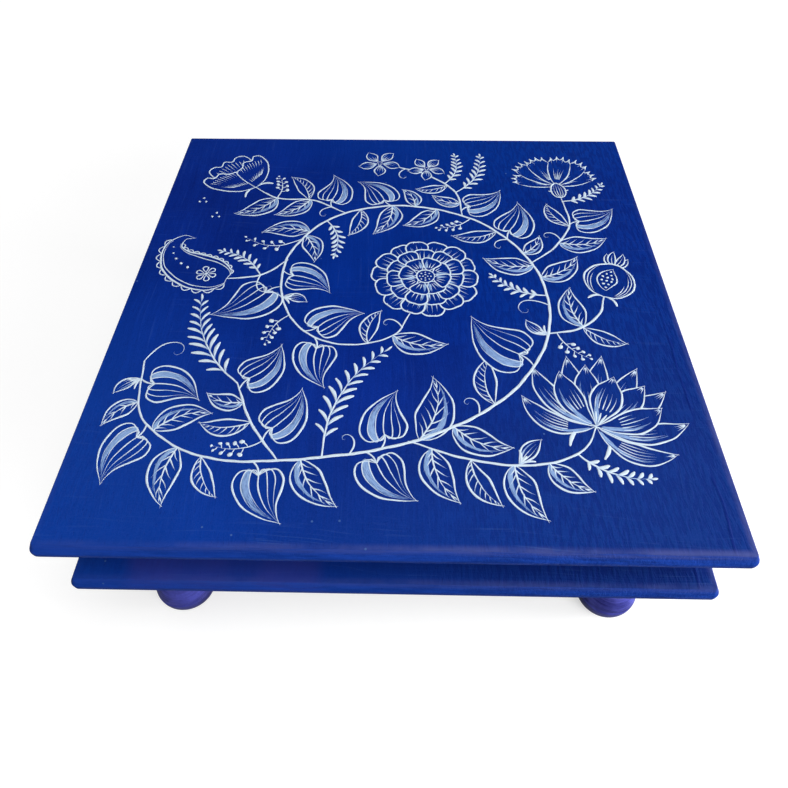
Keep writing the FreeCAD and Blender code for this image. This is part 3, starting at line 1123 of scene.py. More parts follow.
@dataclass(frozen=True)
class DotTrio(Motif):
    """Three dots, to fill a small empty place."""

    piece: ClassVar[str] = "painted_fronds"

    def draw(self, p: Painting, root: complex, ahead: complex) -> None:
        """Set its dots."""
        for out in around(ahead, 3):
            p.dot(root + out, self.size * 0.36)


@dataclass(frozen=True)
class BeadSpray(Motif):
    """A fine bent stem with beads on both sides."""

    bend: float = 0.18
    beads: int = 9
    piece: ClassVar[str] = "painted_fronds"

    def draw(self, p: Painting, root: complex, ahead: complex) -> None:
        """Pull its strokes.

        Args:
            p: the painting.
            root: where it grows from.
            ahead: its heading, as long as its size.
        """
        path = bow(root, root + ahead, self.bend, 24)
        p.fade(path, LIGHT)
        for k in range(self.beads):
            share = k / (self.beads - 1)
            radius = 1.75 - 0.8 * share
            (spot,), (along,) = follow(path, [0.3 + 0.7 * share])
            side = 1 if k % 2 else -1
            bead = spot + (turned(along, 58 * side) * 2.9 if share < 1 else along * 1.3) * radius
            p.add(bow(spot, bead, 0.1 * side, 6), FINEST, Touch.LINE)
            p.dot(bead, radius)


@dataclass(frozen=True)
class Tendril(Motif):
    """A thin stem that winds up, to the left for turns above 0."""

    turns: float = 1.3
    piece: ClassVar[str] = "painted_tendrils"

    def draw(self, p: Painting, root: complex, ahead: complex) -> None:
        """Pull its stroke.

        Args:
            p: the painting.
            root: where it grows from.
            ahead: its heading, as long as its size.
        """
        t = np.linspace(0, 1, 44)
        walk = np.exp(2j * math.pi * self.turns * t**1.6) * (1.15 - t)
        walk *= ahead / abs(walk).sum()
        p.fade(root + np.append(0, np.cumsum(walk[:-1])), PLAIN)


@dataclass(frozen=True)
class Jasmine(Flower):
    """A small star flower whose petals turn like a windmill."""

    PETALS: ClassVar[int] = 5

    def draw(self, p: Painting, root: complex, ahead: complex) -> None:
        """Pull its strokes.

        Args:
            p: the painting.
            root: where it grows from.
            ahead: its heading, as long as its size.
        """
        centre = root + ahead * 0.5
        for out in around(ahead, self.PETALS, 0.5):
            blade = self.blade(centre + out * 0.13, centre + out, 0.06, 0.25, Outline.PETAL)
            p.outline(blade, PLAIN)
            p.wash(blade, 1, 0.1, 0.6)
            p.fan(blade, 3, (0.3, 0.55), 0.45, 0.1)
        for out in around(ahead, self.PETALS):
            p.dot(centre + out * 0.1, 0.6)


@dataclass(frozen=True)
class Bud(Motif):
    """A closed bud in its cup."""

    bend: float = 0.05
    piece: ClassVar[str] = Jasmine.piece

    def draw(self, p: Painting, root: complex, ahead: complex) -> None:
        """Pull its strokes.

        Args:
            p: the painting.
            root: where it grows from.
            ahead: its heading, as long as its size.
        """
        blade = self.blade(root, root + ahead, self.bend, 0.2, Outline.PETAL)
        p.outline(blade, PLAIN, 0.04)
        p.wash(blade, 1)
        p.fan(blade, 3, (0.4, 0.7), 0.5, 0.1)
        p.sepals(root, ahead * 0.44, (-34, 34), 0.14, 1.8, ahead * 0.05)
        p.sepals(root, ahead * 0.34, (0,), 0.0, 1.8, ahead * 0.05)


@dataclass(frozen=True)
class Marigold(Flower):
    """A full flower seen from above: rings of round petals about a button."""

    # each ring's reach as a share of the radius, its count of petals, and where their fans start
    RINGS: ClassVar[tuple] = ((1.0, 14, 0.3), (0.74, 11, 0.3), (0.48, 8, 0.2))
    SEEDS: ClassVar[tuple] = ((0.105, 8), (0.045, 4))

    def draw(self, p: Painting, root: complex, ahead: complex) -> None:
        """Pull its strokes.

        Args:
            p: the painting.
            root: where it grows from.
            ahead: its heading, as long as its size.
        """
        ahead = ahead / 2
        centre = root + ahead
        for row, (reach, count, start) in enumerate(self.RINGS):
            for k in [*range(0, count, 2), *range(1, count, 2)]:
                out = turned(ahead, 360 * (k + 0.5 * row) / count + p.chance.uniform(-2, 2))
                out *= reach * p.near(1.0, 0.045)
                fullness = 0.49 * math.pi * reach / count
                blade = self.blade(centre + out * 0.3, centre + out, 0.02, fullness, Outline.ROUND)
                p.outline(blade, PLAIN * 1.08)
                p.wash(blade, 1 if k % 2 else -1, 0.2, 0.5)
                p.fan(blade, 3, (0.2, 0.34), 0.4, start)
                p.tips(blade, 2, (0.05, 0.09), 0.35, 0.72)
        button = circle(centre, abs(ahead) * 0.17, 30)
        p.cover(button)
        p.add(button, PLAIN, Touch.LINE)
        for reach, count in self.SEEDS:
            for out in around(abs(ahead) * reach, count):
                p.dot(centre + out, 0.62)


@dataclass(frozen=True)
class Lotus(Flower):
    """A water lily from the side: rows of pointed petals, the middle ones in front."""

    # how far each pair of petals is turned, its length, half width and bend, from back to front
    PETALS: ClassVar[tuple] = (
        (12, 1.0, 0.12, 0.02), (36, 0.98, 0.125, 0.05), (62, 1.0, 0.125, 0.12), (24, 0.84, 0.15, 0.03),
        (88, 0.86, 0.115, 0.2), (47, 0.8, 0.15, 0.09), (0, 0.74, 0.17, 0.0),
    )

    def draw(self, p: Painting, root: complex, ahead: complex) -> None:
        """Pull its strokes.

        Args:
            p: the painting.
            root: where it grows from.
            ahead: its heading, as long as its size.
        """
        p.sepals(root, ahead * 0.4, (118, -118, 152, -152), 0.22, 2.8)
        for degrees, reach, fullness, bend in self.PETALS:
            for side in SIDES if degrees else (1,):
                tip = root + turned(ahead, degrees * side) * reach
                blade = self.blade(root, tip, bend * side, fullness, Outline.PETAL)
                p.outline(blade, FIRM, 0.012)
                p.wash(blade, side, 0.1, 0.6)
                p.fan(blade, 5, (0.16, 0.36), 0.62, 0.3)
                p.tips(blade, 3, (0.1, 0.2))
        for share in (-0.6, 0.0, 0.6):
            p.comma(blade.at(share, 0.24), root, 0.0, 1.5)


@dataclass(frozen=True)
class Carnation(Flower):
    """A court carnation from the side: toothed petals fanned above a long cup."""

    TEETH: ClassVar[int] = 4
    # how far each pair of petals is turned, and its length
    PETALS: ClassVar[tuple] = ((66, 0.62), (40, 0.7), (17, 0.7))

    def petal(self, p: Painting, root: complex, out: complex) -> None:
        """Paint one petal with its toothed rim.

        Args:
            p: the painting.
            root: where the petal starts.
            out: its heading, as long as the petal.
        """
        edge = []
        for k in range(2 * self.TEETH + 1):
            off = k / self.TEETH - 1
            far = ((1.0 if k % 2 else 0.87) - 0.05 * abs(off)) * p.near(1, 0.02)
            edge.append(root + turned(out, 15.5 * off) * far)
        sides = [bow(root, edge[0], -0.1, 10), bow(root, edge[-1], 0.1, 10)]
        p.cover(np.concatenate([sides[0], edge[1:-1], sides[1][::-1]]))
        for side in sides:
            p.add(side, PLAIN)
        for near, far in zip(edge, edge[1:]):
            p.add(bow(near, far, 0.12, 6), PLAIN, Touch.LINE)
        for off in np.linspace(-10, 10, 5):
            ray = turned(out, off)
            p.fade(bow(root + ray * 0.22, root + ray * p.chance.uniform(0.42, 0.6), 0.02, 6), FINE, 0.9)
        for tooth in edge[1::2]:
            inward = (root - tooth) / abs(root - tooth)
            end = tooth + inward * abs(out) * p.chance.uniform(0.15, 0.26)
            p.fade(bow(tooth + inward * 1.2, end, 0.02, 6), FINEST, 0.85)

    def draw(self, p: Painting, root: complex, ahead: complex) -> None:
        """Pull its strokes.

        Args:
            p: the painting.
            root: where it grows from.
            ahead: its heading, as long as its size.
        """
        p.sepals(root, ahead * 0.2, (40, -40), 0.2, 2.2, ahead * 0.04)
        mouth = root + ahead * 0.26
        for degrees, reach in self.PETALS:
            for side in SIDES:
                self.petal(p, mouth, turned(ahead, degrees * side) * reach)
        cup = self.blade(root, mouth + ahead * 0.06, 0.0, 0.095, Outline.FRUIT)
        p.outline(cup, FIRM)
        for share in (-0.55, -0.2, 0.2, 0.55):
            p.fade(cup.line(share, 0.1, 0.85), FINE)


@dataclass(frozen=True)
class Pomegranate(Flower):
    """A ripe pomegranate, split to show its seeds, with its crown ahead."""

    # the share of the half width, the start and the end of each line that rounds the fruit
    SHADING: ClassVar[tuple] = (
        (0.86, 0.16, 0.74), (0.72, 0.2, 0.52), (-0.86, 0.16, 0.8), (-0.74, 0.18, 0.62), (-0.62, 0.2, 0.44),
    )
    CROWN: ClassVar[tuple] = ((40, 0.26), (14, 0.3))
    SEEDS: ClassVar[tuple] = (1, 2, 3, 3, 2, 1)

    def draw(self, p: Painting, root: complex, ahead: complex) -> None:
        """Pull its strokes.

        Args:
            p: the painting.
            root: where it grows from.
            ahead: its heading, as long as its size.
        """
        p.sepals(root, ahead * 0.24, (118, -118), 0.2, 2.2)
        top = root + ahead * 0.76
        for degrees, reach in self.CROWN:
            for side in SIDES:
                tip = top + turned(ahead, degrees * side) * reach
                blade = self.blade(top - ahead * 0.06, tip, 0.1 * side, 0.06, Outline.WILLOW)
                p.outline(blade, PLAIN)
                p.fade(blade.line(0, 0.1, 0.7), FINE)
        fruit = self.blade(root, top, 0.0, 0.38, Outline.FRUIT)
        p.outline(fruit, BOLD)
        for share, start, end in self.SHADING:
            p.add(fruit.line(share, start, end), FINE, Touch.SWELL, 0.9)
        split = self.blade(root + ahead * 0.14, root + ahead * 0.64, 0.08, 0.15, Outline.WILLOW)
        p.outline(split, PLAIN)
        for k, count in enumerate(self.SEEDS):
            (spot,), (along,) = follow(split.rib, [0.14 + 0.145 * k])
            for j in range(count):
                p.dot(spot + 1j * along * self.size * 0.075 * (j - (count - 1) / 2), self.size * 0.021)


@dataclass(frozen=True)
class Paisley(Flower):
    """A mango shape with a hooked tip, scallops outside and a flower inside."""

    hand: int = 1
    RIB: ClassVar[tuple] = (0, 0.25, 0.55 + 0.03j, 0.82 + 0.14j, 0.98 + 0.34j, 0.94 + 0.56j, 0.78 + 0.6j)
    # where on the rib the small flower and the row of dots lie
    HEART: ClassVar[float] = 0.2
    ROW: ClassVar[tuple] = (0.4, 0.485, 0.57, 0.655, 0.74)

    def draw(self, p: Painting, root: complex, ahead: complex) -> None:
        """Pull its strokes.

        Args:
            p: the painting.
            root: where it grows from.
            ahead: its heading, as long as its size.
        """
        rib = smooth([root + ahead * complex(point.real, self.hand * point.imag) for point in self.RIB])
        body = Blade(rib, self.size * 0.31, Outline.DROP)
        p.outline(body, BOLD, 0.0)
        for side in SIDES:
            p.add(body.line(0.8 * side, 0.03, 0.8), LIGHT)
            marks, _ = follow(body.line(side, 0.1, 0.8), np.linspace(0, 1, 12))
            for near, far in zip(marks, marks[1:]):
                p.add(bow(near, far, 0.42 * side, 8), LIGHT, Touch.LINE)
        (heart, *row), _ = follow(rib, [self.HEART, *self.ROW])
        for out in around(ahead, 6):
            p.outline(self.blade(heart + out * 0.03, heart + out * 0.135, 0.0, 0.036, Outline.ROUND), LIGHT)
        p.dot(heart, self.size * 0.022)
        for k, spot in enumerate(row):
            p.dot(spot, self.size * (0.024 - 0.003 * k))


@dataclass(frozen=True)
class Poppy(Flower):
    """A poppy from the side, with two ruffled petals before a third."""

    # the left half of the back petal's rim, its middle, and the front petal at the left
    BACK: ClassVar[tuple] = (0.1 + 0.05j, 0.45 + 0.3j, 0.78 + 0.33j, 0.86 + 0.2j, 0.8 + 0.1j)
    CREST: ClassVar[complex] = 0.88 + 0j
    FRONT: ClassVar[tuple] = (
        0j, 0.1 + 0.26j, 0.36 + 0.47j, 0.62 + 0.52j, 0.7 + 0.42j, 0.62 + 0.34j,
        0.66 + 0.22j, 0.56 + 0.12j, 0.5 - 0.02j, 0.25 - 0.03j, 0j,
    )
    RAYS: ClassVar[int] = 9

    def draw(self, p: Painting, root: complex, ahead: complex) -> None:
        """Pull its strokes.

        Args:
            p: the painting.
            root: where it grows from.
            ahead: its heading, as long as its size.
        """
        p.sepals(root, ahead * 0.26, (109, -109), 0.2, 2.4)
        rim = [*self.BACK, self.CREST, *(point.conjugate() for point in self.BACK[::-1])]
        p.add(smooth([root + ahead * point for point in rim]), PLAIN, Touch.LINE)
        for across in np.linspace(-0.24, 0.24, self.RAYS):
            outer, inner = complex(0.78 - 0.3 * abs(across), across), complex(0.55, across * 0.75)
            p.fade(bow(root + ahead * outer, root + ahead * inner, 0.02, 6), FINEST, 0.85)
        for side in SIDES:
            def at(along: float, across: float) -> complex:
                """Find a place on this petal."""
                return root + ahead * complex(along, across * side)

            ring = smooth([at(point.real, point.imag) for point in self.FRONT])
            p.cover(ring)
            p.add(ring, FIRM, Touch.LINE)
            for k in range(self.RAYS):
                ray = bow(at(0.06, 0.03), at(0.24 + 0.016 * k, 0.034 + 0.044 * k), 0.05 * side, 8)
                p.fade(ray[4:], FINE, 0.9)
                outer, inner = at(0.58 - 0.01 * abs(k - 4), 0.08 + 0.047 * k), at(0.42, 0.06 + 0.04 * k)
                p.fade(bow(outer, inner, 0.03, 6), FINEST, 0.85)


class Stem(Enum):
    """The stems, by the points that each passes through: the vine first, then its branches."""

    VINE = (
        -160 - 66j, -150 - 108j, -108 - 134j, -48 - 134j, 16 - 120j, 70 - 87j, 100 - 36j, 98 + 24j, 62 + 74j,
        4 + 94j, -50 + 80j, -80 + 38j, -80 - 8j, -60 - 40j, -30 - 50j, -2 - 41j, 8 - 22j,
    )
    LOTUS = (8 - 122j, 46 - 134j, 82 - 136j, 108 - 126j, 118 - 110j)
    POMEGRANATE = (100 - 38j, 120 - 34j, 136 - 20j, 142 - 4j)
    CARNATION = (97 + 30j, 116 + 48j, 130 + 74j, 128 + 106j)
    JASMINE = (48 + 83j, 44 + 112j, 20 + 136j, -10 + 148j)
    POPPY = (-42 + 84j, -70 + 100j, -98 + 102j, -118 + 116j)
    PAISLEY = (-81 + 30j, -98 + 14j, -122 + 10j)
    FROND = (-66 - 135j, -84 - 112j, -98 - 82j)

    @property
    def path(self) -> np.ndarray:
        """The stem's smooth line."""
        return smooth(self.value)


@dataclass(frozen=True)
class Growth:
    """Something that grows from a stem: at which share of its length, and turned how far to the left."""

    stem: Stem
    share: float
    turn: float
    motif: Motif

    @property
    def root(self) -> complex:
        """The place on the stem."""
        return follow(self.stem.path, [self.share])[0][0]

    def sketch(self, seed: int) -> Painting:
        """Paint it by itself.

        Args:
            seed: what its chance is drawn from.

        Returns:
            The painting.
        """
        (place,), (heading,) = follow(self.stem.path, [self.share])
        picture = Painting(seed)
        self.motif.grow(picture, place, turned(heading, self.turn))
        return picture


GROWTHS = tuple(Growth(stem, *row) for stem, rows in (
    (Stem.VINE, (
        (0.0, 150, Tendril(46, -1.1)), (0.07, 62, Leaf(34, 0.14)), (0.115, -48, HatchedLeaf(28, -0.12)),
        (0.2, 60, Frond(84, 0.12, 10, 16)), (0.27, 58, Leaf(46, -0.14, 7)),
        (0.335, 54, HatchedLeaf(36, 0.12)), (0.385, 74, BetelLeaf(56, 0.1)), (0.455, 60, Tendril(40, 1.2)),
        (0.505, 58, Leaf(36, 0.12)),
        (0.56, 56, HatchedLeaf(34, 0.12)), (0.545, -52, BetelLeaf(46, -0.1)), (0.625, 54, Leaf(32, 0.12, 5)),
        (0.7, 58, HatchedLeaf(32, 0.12)), (0.77, -62, BeadSpray(42, 0.2)), (0.765, 50, Leaf(30, 0.1, 5)),
        (0.835, -66, BetelLeaf(52, 0.1)),
    )),
    (Stem.LOTUS, ((0.3, -48, HatchedLeaf(32, -0.12)), (0.52, 50, Bud(22)), (0.66, -50, Leaf(28, -0.1)))),
    (Stem.CARNATION, ((0.35, -46, Leaf(36, -0.12)), (0.6, 44, HatchedLeaf(30, 0.12)))),
    (Stem.POMEGRANATE, ((0.4, -60, HatchedLeaf(30, -0.1)),)),
    (Stem.JASMINE, ((0.3, -50, Frond(54, -0.12, 8, 12)), (0.42, 60, HatchedLeaf(26, 0.12)))),
    (Stem.POPPY, ((0.42, -50, HatchedLeaf(34, -0.12)), (0.4, 50, Leaf(32, 0.1)))),
    (Stem.FROND, ((1.0, 4, Frond(78, 0.1, 10, 18)), (0.5, 62, HatchedLeaf(30, 0.12)))),
    (Stem.PAISLEY, ((0.5, 50, Tendril(34, 1.2)),)),
    (Stem.VINE, ((1.0, 8, Marigold(76)),)),
    (Stem.LOTUS, ((1.0, 4, Lotus(54)),)),
    (Stem.POMEGRANATE, ((1.0, -4, Pomegranate(46)),)),
    (Stem.CARNATION, ((1.0, 0, Carnation(60)),)),
    (Stem.JASMINE, ((1.0, 0, Jasmine(18)), (0.66, -62, Jasmine(16)))),
    (Stem.POPPY, ((1.0, -10, Poppy(54)),)),
    (Stem.PAISLEY, ((1.0, -24, Paisley(54, hand=-1)),)),
) for row in rows)


class Ground:
    """Keeps count of the board's free places, in square cells, so that late growths find room."""

    REACH: ClassVar[float] = 174.0
    CELL: ClassVar[float] = 2.0
    CROWDED: ClassVar[float] = 0.03
    ROOT: ClassVar[float] = 6.0

    def __init__(self) -> None:
        """Start with a free board."""
        self.side = int(2 * self.REACH / self.CELL) + 1
        self.taken = np.zeros((self.side, self.side), bool)

    def cells(self, places: np.ndarray) -> tuple[np.ndarray, np.ndarray]:
        """Find the cells of places, the nearest ones for places off the board."""
        numbers = ((part + self.REACH) / self.CELL for part in (places.real, places.imag))
        return tuple(np.clip(number.astype(int), 0, self.side - 1) for number in numbers)

    def take(self, picture: Painting) -> None:
        """Mark the cells at and around a picture's strokes and inside its rings.

        Args:
            picture: the picture.
        """
        offsets = [complex(x, y) * self.CELL for x in (-1, 0, 1) for y in (-1, 0, 1)]
        for stroke in picture.strokes:
            for offset in offsets:
                self.taken[self.cells(stroke.dense + offset)] = True
        across, along = np.meshgrid(*[np.arange(self.side) * self.CELL - self.REACH] * 2, indexing="ij")
        middles = (across + 1j * along).ravel()
        for ring in picture.rings:
            self.taken |= within(middles, ring).reshape(self.taken.shape)

    def has_room(self, picture: Painting, root: complex | None = None) -> bool:
        """Say whether a picture lies on the board and on free cells.

        Args:
            picture: the picture.
            root: a place around which its cells don't count.

        Returns:
            True if there is room.
        """
        places = np.concatenate([stroke.dense for stroke in picture.strokes])
        if max(abs(places.real).max(), abs(places.imag).max()) > self.REACH:
            return False
        if root is not None:
            places = places[abs(places - root) > self.ROOT]
        return self.taken[self.cells(places)].mean() < self.CROWDED


@dataclass
class StrokeFilm:
    """The dried paint of many strokes as one mesh of low ribbons, sunk a little in the board."""

    ATTRIBUTE: ClassVar[str] = "brush"
    SPACING: ClassVar[float] = 1.7
    FEWEST: ClassVar[int] = 6
    SINK: ClassVar[float] = 0.06
    THICKEST: ClassVar[float] = 0.16
    # how far the hand shakes and the length of each wave, and the length from which it shakes fully
    TREMOR: ClassVar[tuple] = ((0.16, 5.5), (0.1, 2.3))
    STEADY: ClassVar[float] = 30.0
    # a cap's reach and half width, as shares of the half width at the stroke's end
    CAP: ClassVar[tuple[float, float]] = (0.6, 0.78)
    # the ribbon's section: shares of the half width, and of the film's thickness, from left to right
    SECTION: ClassVar[tuple] = ((1.0, None), (0.5, 1.0), (-0.5, 1.0), (-1.0, None))

    # the board's height in metres, what the tremor and the thickness are drawn from, and what is laid so far
    level: float
    chance: random.Random
    points: list[np.ndarray] = field(default_factory=list)
    marks: list[np.ndarray] = field(default_factory=list)
    faces: list[list[int]] = field(default_factory=list)
    count: int = 0

    def tremor(self, line: np.ndarray) -> np.ndarray:
        """Let the hand shake a little across a stroke's line.

        Args:
            line: the stroke's points.

        Returns:
            The shaken points.
        """
        length = abs(np.diff(line)).sum()
        shares = np.linspace(0, 1, max(self.FEWEST, int(length / self.SPACING) + 2))
        places, heading = follow(line, shares)
        run = shares * length
        shake = sum(
            size * np.sin(run / wave + self.chance.uniform(0, 2 * math.pi)) for size, wave in self.TREMOR
        )
        return places + 1j * heading * shake * min(1.0, length / self.STEADY)

    def lay(self, stroke: Stroke) -> None:
        """Lay one stroke.

        Args:
            stroke: the stroke, in millimetres on the board.
        """
        line = self.tremor(stroke.line)
        shares = np.linspace(0, 1, len(line))
        places, heading = follow(line, shares)
        held = stroke.span[0] + (stroke.span[1] - stroke.span[0]) * shares
        profile = stroke.touch.value
        half = stroke.width / 2 * np.interp(held, np.linspace(0, 1, len(profile)), profile)
        half = half * (1 + 0.08 * np.sin(shares * len(line) * 0.9 + self.chance.uniform(0, 6)))

        places, heading, half, held = (np.pad(part, 1, "edge") for part in (places, heading, half, held))
        ends, away = [0, -1], np.array([-1, 1])
        places[ends] += away * heading[ends] * half[ends] * self.CAP[0]
        half[ends] *= self.CAP[1]
        run = np.append(0, np.cumsum(abs(np.diff(places)))) + self.chance.uniform(0, 500)
        thickness = np.minimum(self.THICKEST, half * 0.24) * self.chance.uniform(0.8, 1.15) * stroke.load
        load = stroke.load * self.chance.uniform(0.85, 1.0) * (1 - 0.55 * held**2 * stroke.touch.lifts)

        for across, rise in self.SECTION:
            spots = places + 1j * heading * half * across
            height = np.full(len(spots), -self.SINK) if rise is None else thickness * rise
            self.points.append(np.stack([spots.real, spots.imag, height], 1))
            self.marks.append(np.stack([run, half * across, load], 1))
        tips = places[ends] + away * heading[ends] * half[ends] * 0.5
        self.points.append(np.stack([tips.real, tips.imag, np.full(2, 0.2 * self.SINK)], 1))
        self.marks.append(np.stack([run[ends], np.zeros(2), load[ends]], 1))
        self.join(len(places))

    def join(self, rings: int) -> None:
        """Join the rings of the stroke that was laid last with faces.

        Args:
            rings: how many rings it has.
        """
        sides = len(self.SECTION)
        first = self.count
        for side in range(sides):
            here, there = first + side * rings, first + (side + 1) % sides * rings
            self.faces += [[here + k, there + k, there + k + 1, here + k + 1] for k in range(rings - 1)]
            self.faces.append([first + sides * rings, there, here])
            self.faces.append([first + sides * rings + 1, here + rings - 1, there + rings - 1])
        self.count += sides * rings + 2

    def piece(self, name: str) -> bpy.types.Object:
        """Turn what was laid into one object.

        Args:
            name: the object's name.

        Returns:
            The object, in metres, at its place on the board.
        """
        mesh = bpy.data.meshes.new(name)
        points = np.concatenate(self.points) * MM + (0, 0, self.level)
        mesh.from_pydata(points.tolist(), [], self.faces)
        marks = np.concatenate(self.marks).astype(np.float32).ravel()
        mesh.attributes.new(self.ATTRIBUTE, "FLOAT_VECTOR", "POINT").data.foreach_set("vector", marks)
        mesh.polygons.foreach_set("use_smooth", [True] * len(mesh.polygons))
        mesh.validate()
        return put(bpy.data.objects.new(name, mesh))


# The table

def put(made: bpy.types.Object) -> bpy.types.Object:
    """Put an object into the scene."""
    bpy.context.scene.collection.objects.link(made)
    return made


def dress(node: str, material: bpy.types.Material) -> bpy.types.Object:
    """Give one of the table's own pieces its finish.

    Args:
        node: the piece's name.
        material: its new material.

    Returns:
        The piece.
    """
    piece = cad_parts[node]
    piece.data.materials.clear()
    piece.data.materials.append(material)
    return piece


@dataclass(frozen=True)
class Boards:
    """The two square boards, one above the other."""

    # how worn each board's edges are and how strong their painted highlight is, and how much of its last coat
    # is missing at the left
    nodes: tuple[tuple[str, float, float], ...] = (("top_board", 1.0, 0.0), ("lower_board", 0.6, 1.0))

    def build(self) -> list[bpy.types.Object]:
        """Finish each board by its own size.

        Returns:
            Both boards.
        """
        made = []
        for node, wear, patchy in self.nodes:
            low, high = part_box(node)
            name = f"blue emulsion on the {node}"
            paint = BoardPaint(name, high.x, low.z, high.z, wear=wear, patchy=patchy)
            made.append(dress(node, paint.material()))
        return made


@dataclass(frozen=True)
class SpacerFrame:
    """The posts and rails that hold the boards apart, in one thin coat."""

    # how worn the arrises are, and how strong their painted highlight is
    wear: float = 0.5
    under_cover: float = 0.3

    def build(self) -> list[bpy.types.Object]:
        """Finish the posts and rails.

        Returns:
            The posts and rails.
        """
        nodes = sorted(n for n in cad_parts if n.startswith("corner_post") or n.endswith("_rail"))
        low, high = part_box(nodes[0])
        coat = {"bevel": 0.0, "wear": self.wear, "under_cover": self.under_cover}
        paint = BoardPaint("blue emulsion, one coat", high.x, low.z, high.z, **coat).material()
        return [dress(node, paint) for node in nodes]


@dataclass(frozen=True)
class Legs:
    """The four turned legs."""

    paint: Finish = TurnedPaint("violet blue enamel")

    def build(self) -> list[bpy.types.Object]:
        """Finish the legs and return them."""
        paint = self.paint.material()
        return [dress(node, paint) for node in sorted(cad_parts) if node.startswith("leg_")]


@dataclass(frozen=True)
class Screws:
    """The screws that hold the two boards to the frame."""

    paint: Finish = ZincPlate("zinc plate")

    def build(self) -> list[bpy.types.Object]:
        """Finish the screws and return them."""
        return [dress("assembly_screws", self.paint.material())]


@dataclass(frozen=True)
class Flowers:
    """The picture on the top: one vine, its branches, and what grows from them."""

    seed: int = 7
    vine_width: float = 2.3
    branch_width: float = 1.9
    # what fills the free places, how far apart on the stems it is tried, and how it bends and turns
    fillers: tuple[Motif, ...] = (
        BetelLeaf(42), Leaf(36), Frond(40, 0.14, 7, 10), HatchedLeaf(30), BeadSpray(28), Leaf(24, veins=4),
        Bud(18), Tendril(24, 1.1),
    )
    step: float = 9.0
    bend: float = 0.12
    turn: Range = (46, 66)
    seeds: int = 9999
    # how often a trio of dots is tried, its size, how far it stays from the rim, and its free space
    tries: int = 40
    dots: float = 3.0
    rim: float = 8.0
    space: float = 9.0

    def paint(self) -> Painting:
        """Pull all the strokes: what lies behind first, then the stems, then the flowers in front.

        Returns:
            The picture.
        """
        picture = Painting(self.seed)
        late = [growth for growth in GROWTHS if growth.motif.in_front]
        for number, growth in enumerate(growth for growth in GROWTHS if growth not in late):
            picture.merge(growth.sketch(self.seed + number))
        picture.piece = "painted_vine"
        for stem in Stem:
            picture.add(stem.path, self.vine_width if stem is Stem.VINE else self.branch_width, Touch.LINE)
        for number, growth in enumerate(late):
            picture.merge(growth.sketch(self.seed - number))
        ground = Ground()
        ground.take(picture)
        chance = random.Random(self.seed)
        self.fill(picture, ground, chance)
        self.sprinkle(picture, ground, chance)
        return picture

    def fill(self, picture: Painting, ground: Ground, chance: random.Random) -> None:
        """Let leaves grow from the stems wherever there is room.

        Args:
            picture: the picture so far.
            ground: its free places.
            chance: what the order, the turns and the seeds are drawn from.
        """
        tries = []
        for stem in Stem:
            steps = int(abs(np.diff(stem.path)).sum() / self.step)
            tries += [(stem, (k + 0.5) / steps, side) for k in range(steps) for side in SIDES]
        chance.shuffle(tries)
        for motif in self.fillers:
            for stem, share, side in tries:
                bent = replace(motif, bend=side * self.bend) if hasattr(motif, "bend") else motif
                growth = Growth(stem, share, side * chance.uniform(*self.turn), bent)
                sketch = growth.sketch(chance.randrange(self.seeds))
                if ground.has_room(sketch, growth.root):
                    picture.merge(sketch)
                    ground.take(sketch)

    def sprinkle(self, picture: Painting, ground: Ground, chance: random.Random) -> None:
        """Set trios of dots where there is still room.

        Args:
            picture: the picture so far.
            ground: its free places.
            chance: what the places are drawn from.
        """
        for _ in range(self.tries):
            spot = complex(chance.uniform(-1, 1), chance.uniform(-1, 1)) * (Ground.REACH - self.rim)
            sketch, room = Painting(self.seed), Painting(self.seed)
            DotTrio(self.dots).grow(sketch, spot, 1j)
            room.add(circle(spot, self.space, 24), PLAIN)
            if ground.has_room(room):
                picture.merge(sketch)
                ground.take(room)

    def build(self) -> list[bpy.types.Object]:
        """Turn the strokes into raised paint on the top board.

        Returns:
            The pieces of the picture.
        """
        _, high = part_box("top_board")
        paint = LinePaint("off-white acrylic").material()
        made = []
        for number, (name, strokes) in enumerate(self.paint().pieces.items()):
            film = StrokeFilm(high.z, random.Random(self.seed + number))
            for stroke in strokes:
                film.lay(stroke)
            piece = film.piece(name)
            piece.data.materials.append(paint)
            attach(piece, "root")
            made.append(piece)
        return made


# The studio

@dataclass(frozen=True)
class Lamp:
    """A square soft lamp that shines at the table."""

    name: str
    azimuth: float
    elevation: float
    distance: float
    side: float
    level: float
    aim: tuple[float, float, float] = (0.0, 0.0, 0.12)

    def build(self) -> bpy.types.Object:
        """Set up the lamp. At its level of 1, a white sheet that faces it at its aim looks white.

        Returns:
            The lamp.
        """
        data = bpy.data.lights.new(self.name, "AREA")
        data.shape, data.size = "SQUARE", self.side
        data.energy = self.level * math.pi**2 * self.distance**2
        made = put(bpy.data.objects.new(self.name, data))
        turn, rise = math.radians(self.azimuth), math.radians(self.elevation)
        back = Vector((math.sin(turn) * math.cos(rise), -math.cos(turn) * math.cos(rise), math.sin(rise)))
        made.location = Vector(self.aim) + back * self.distance
        made.rotation_euler = (-back).to_track_quat("-Z", "Y").to_euler()
        return made


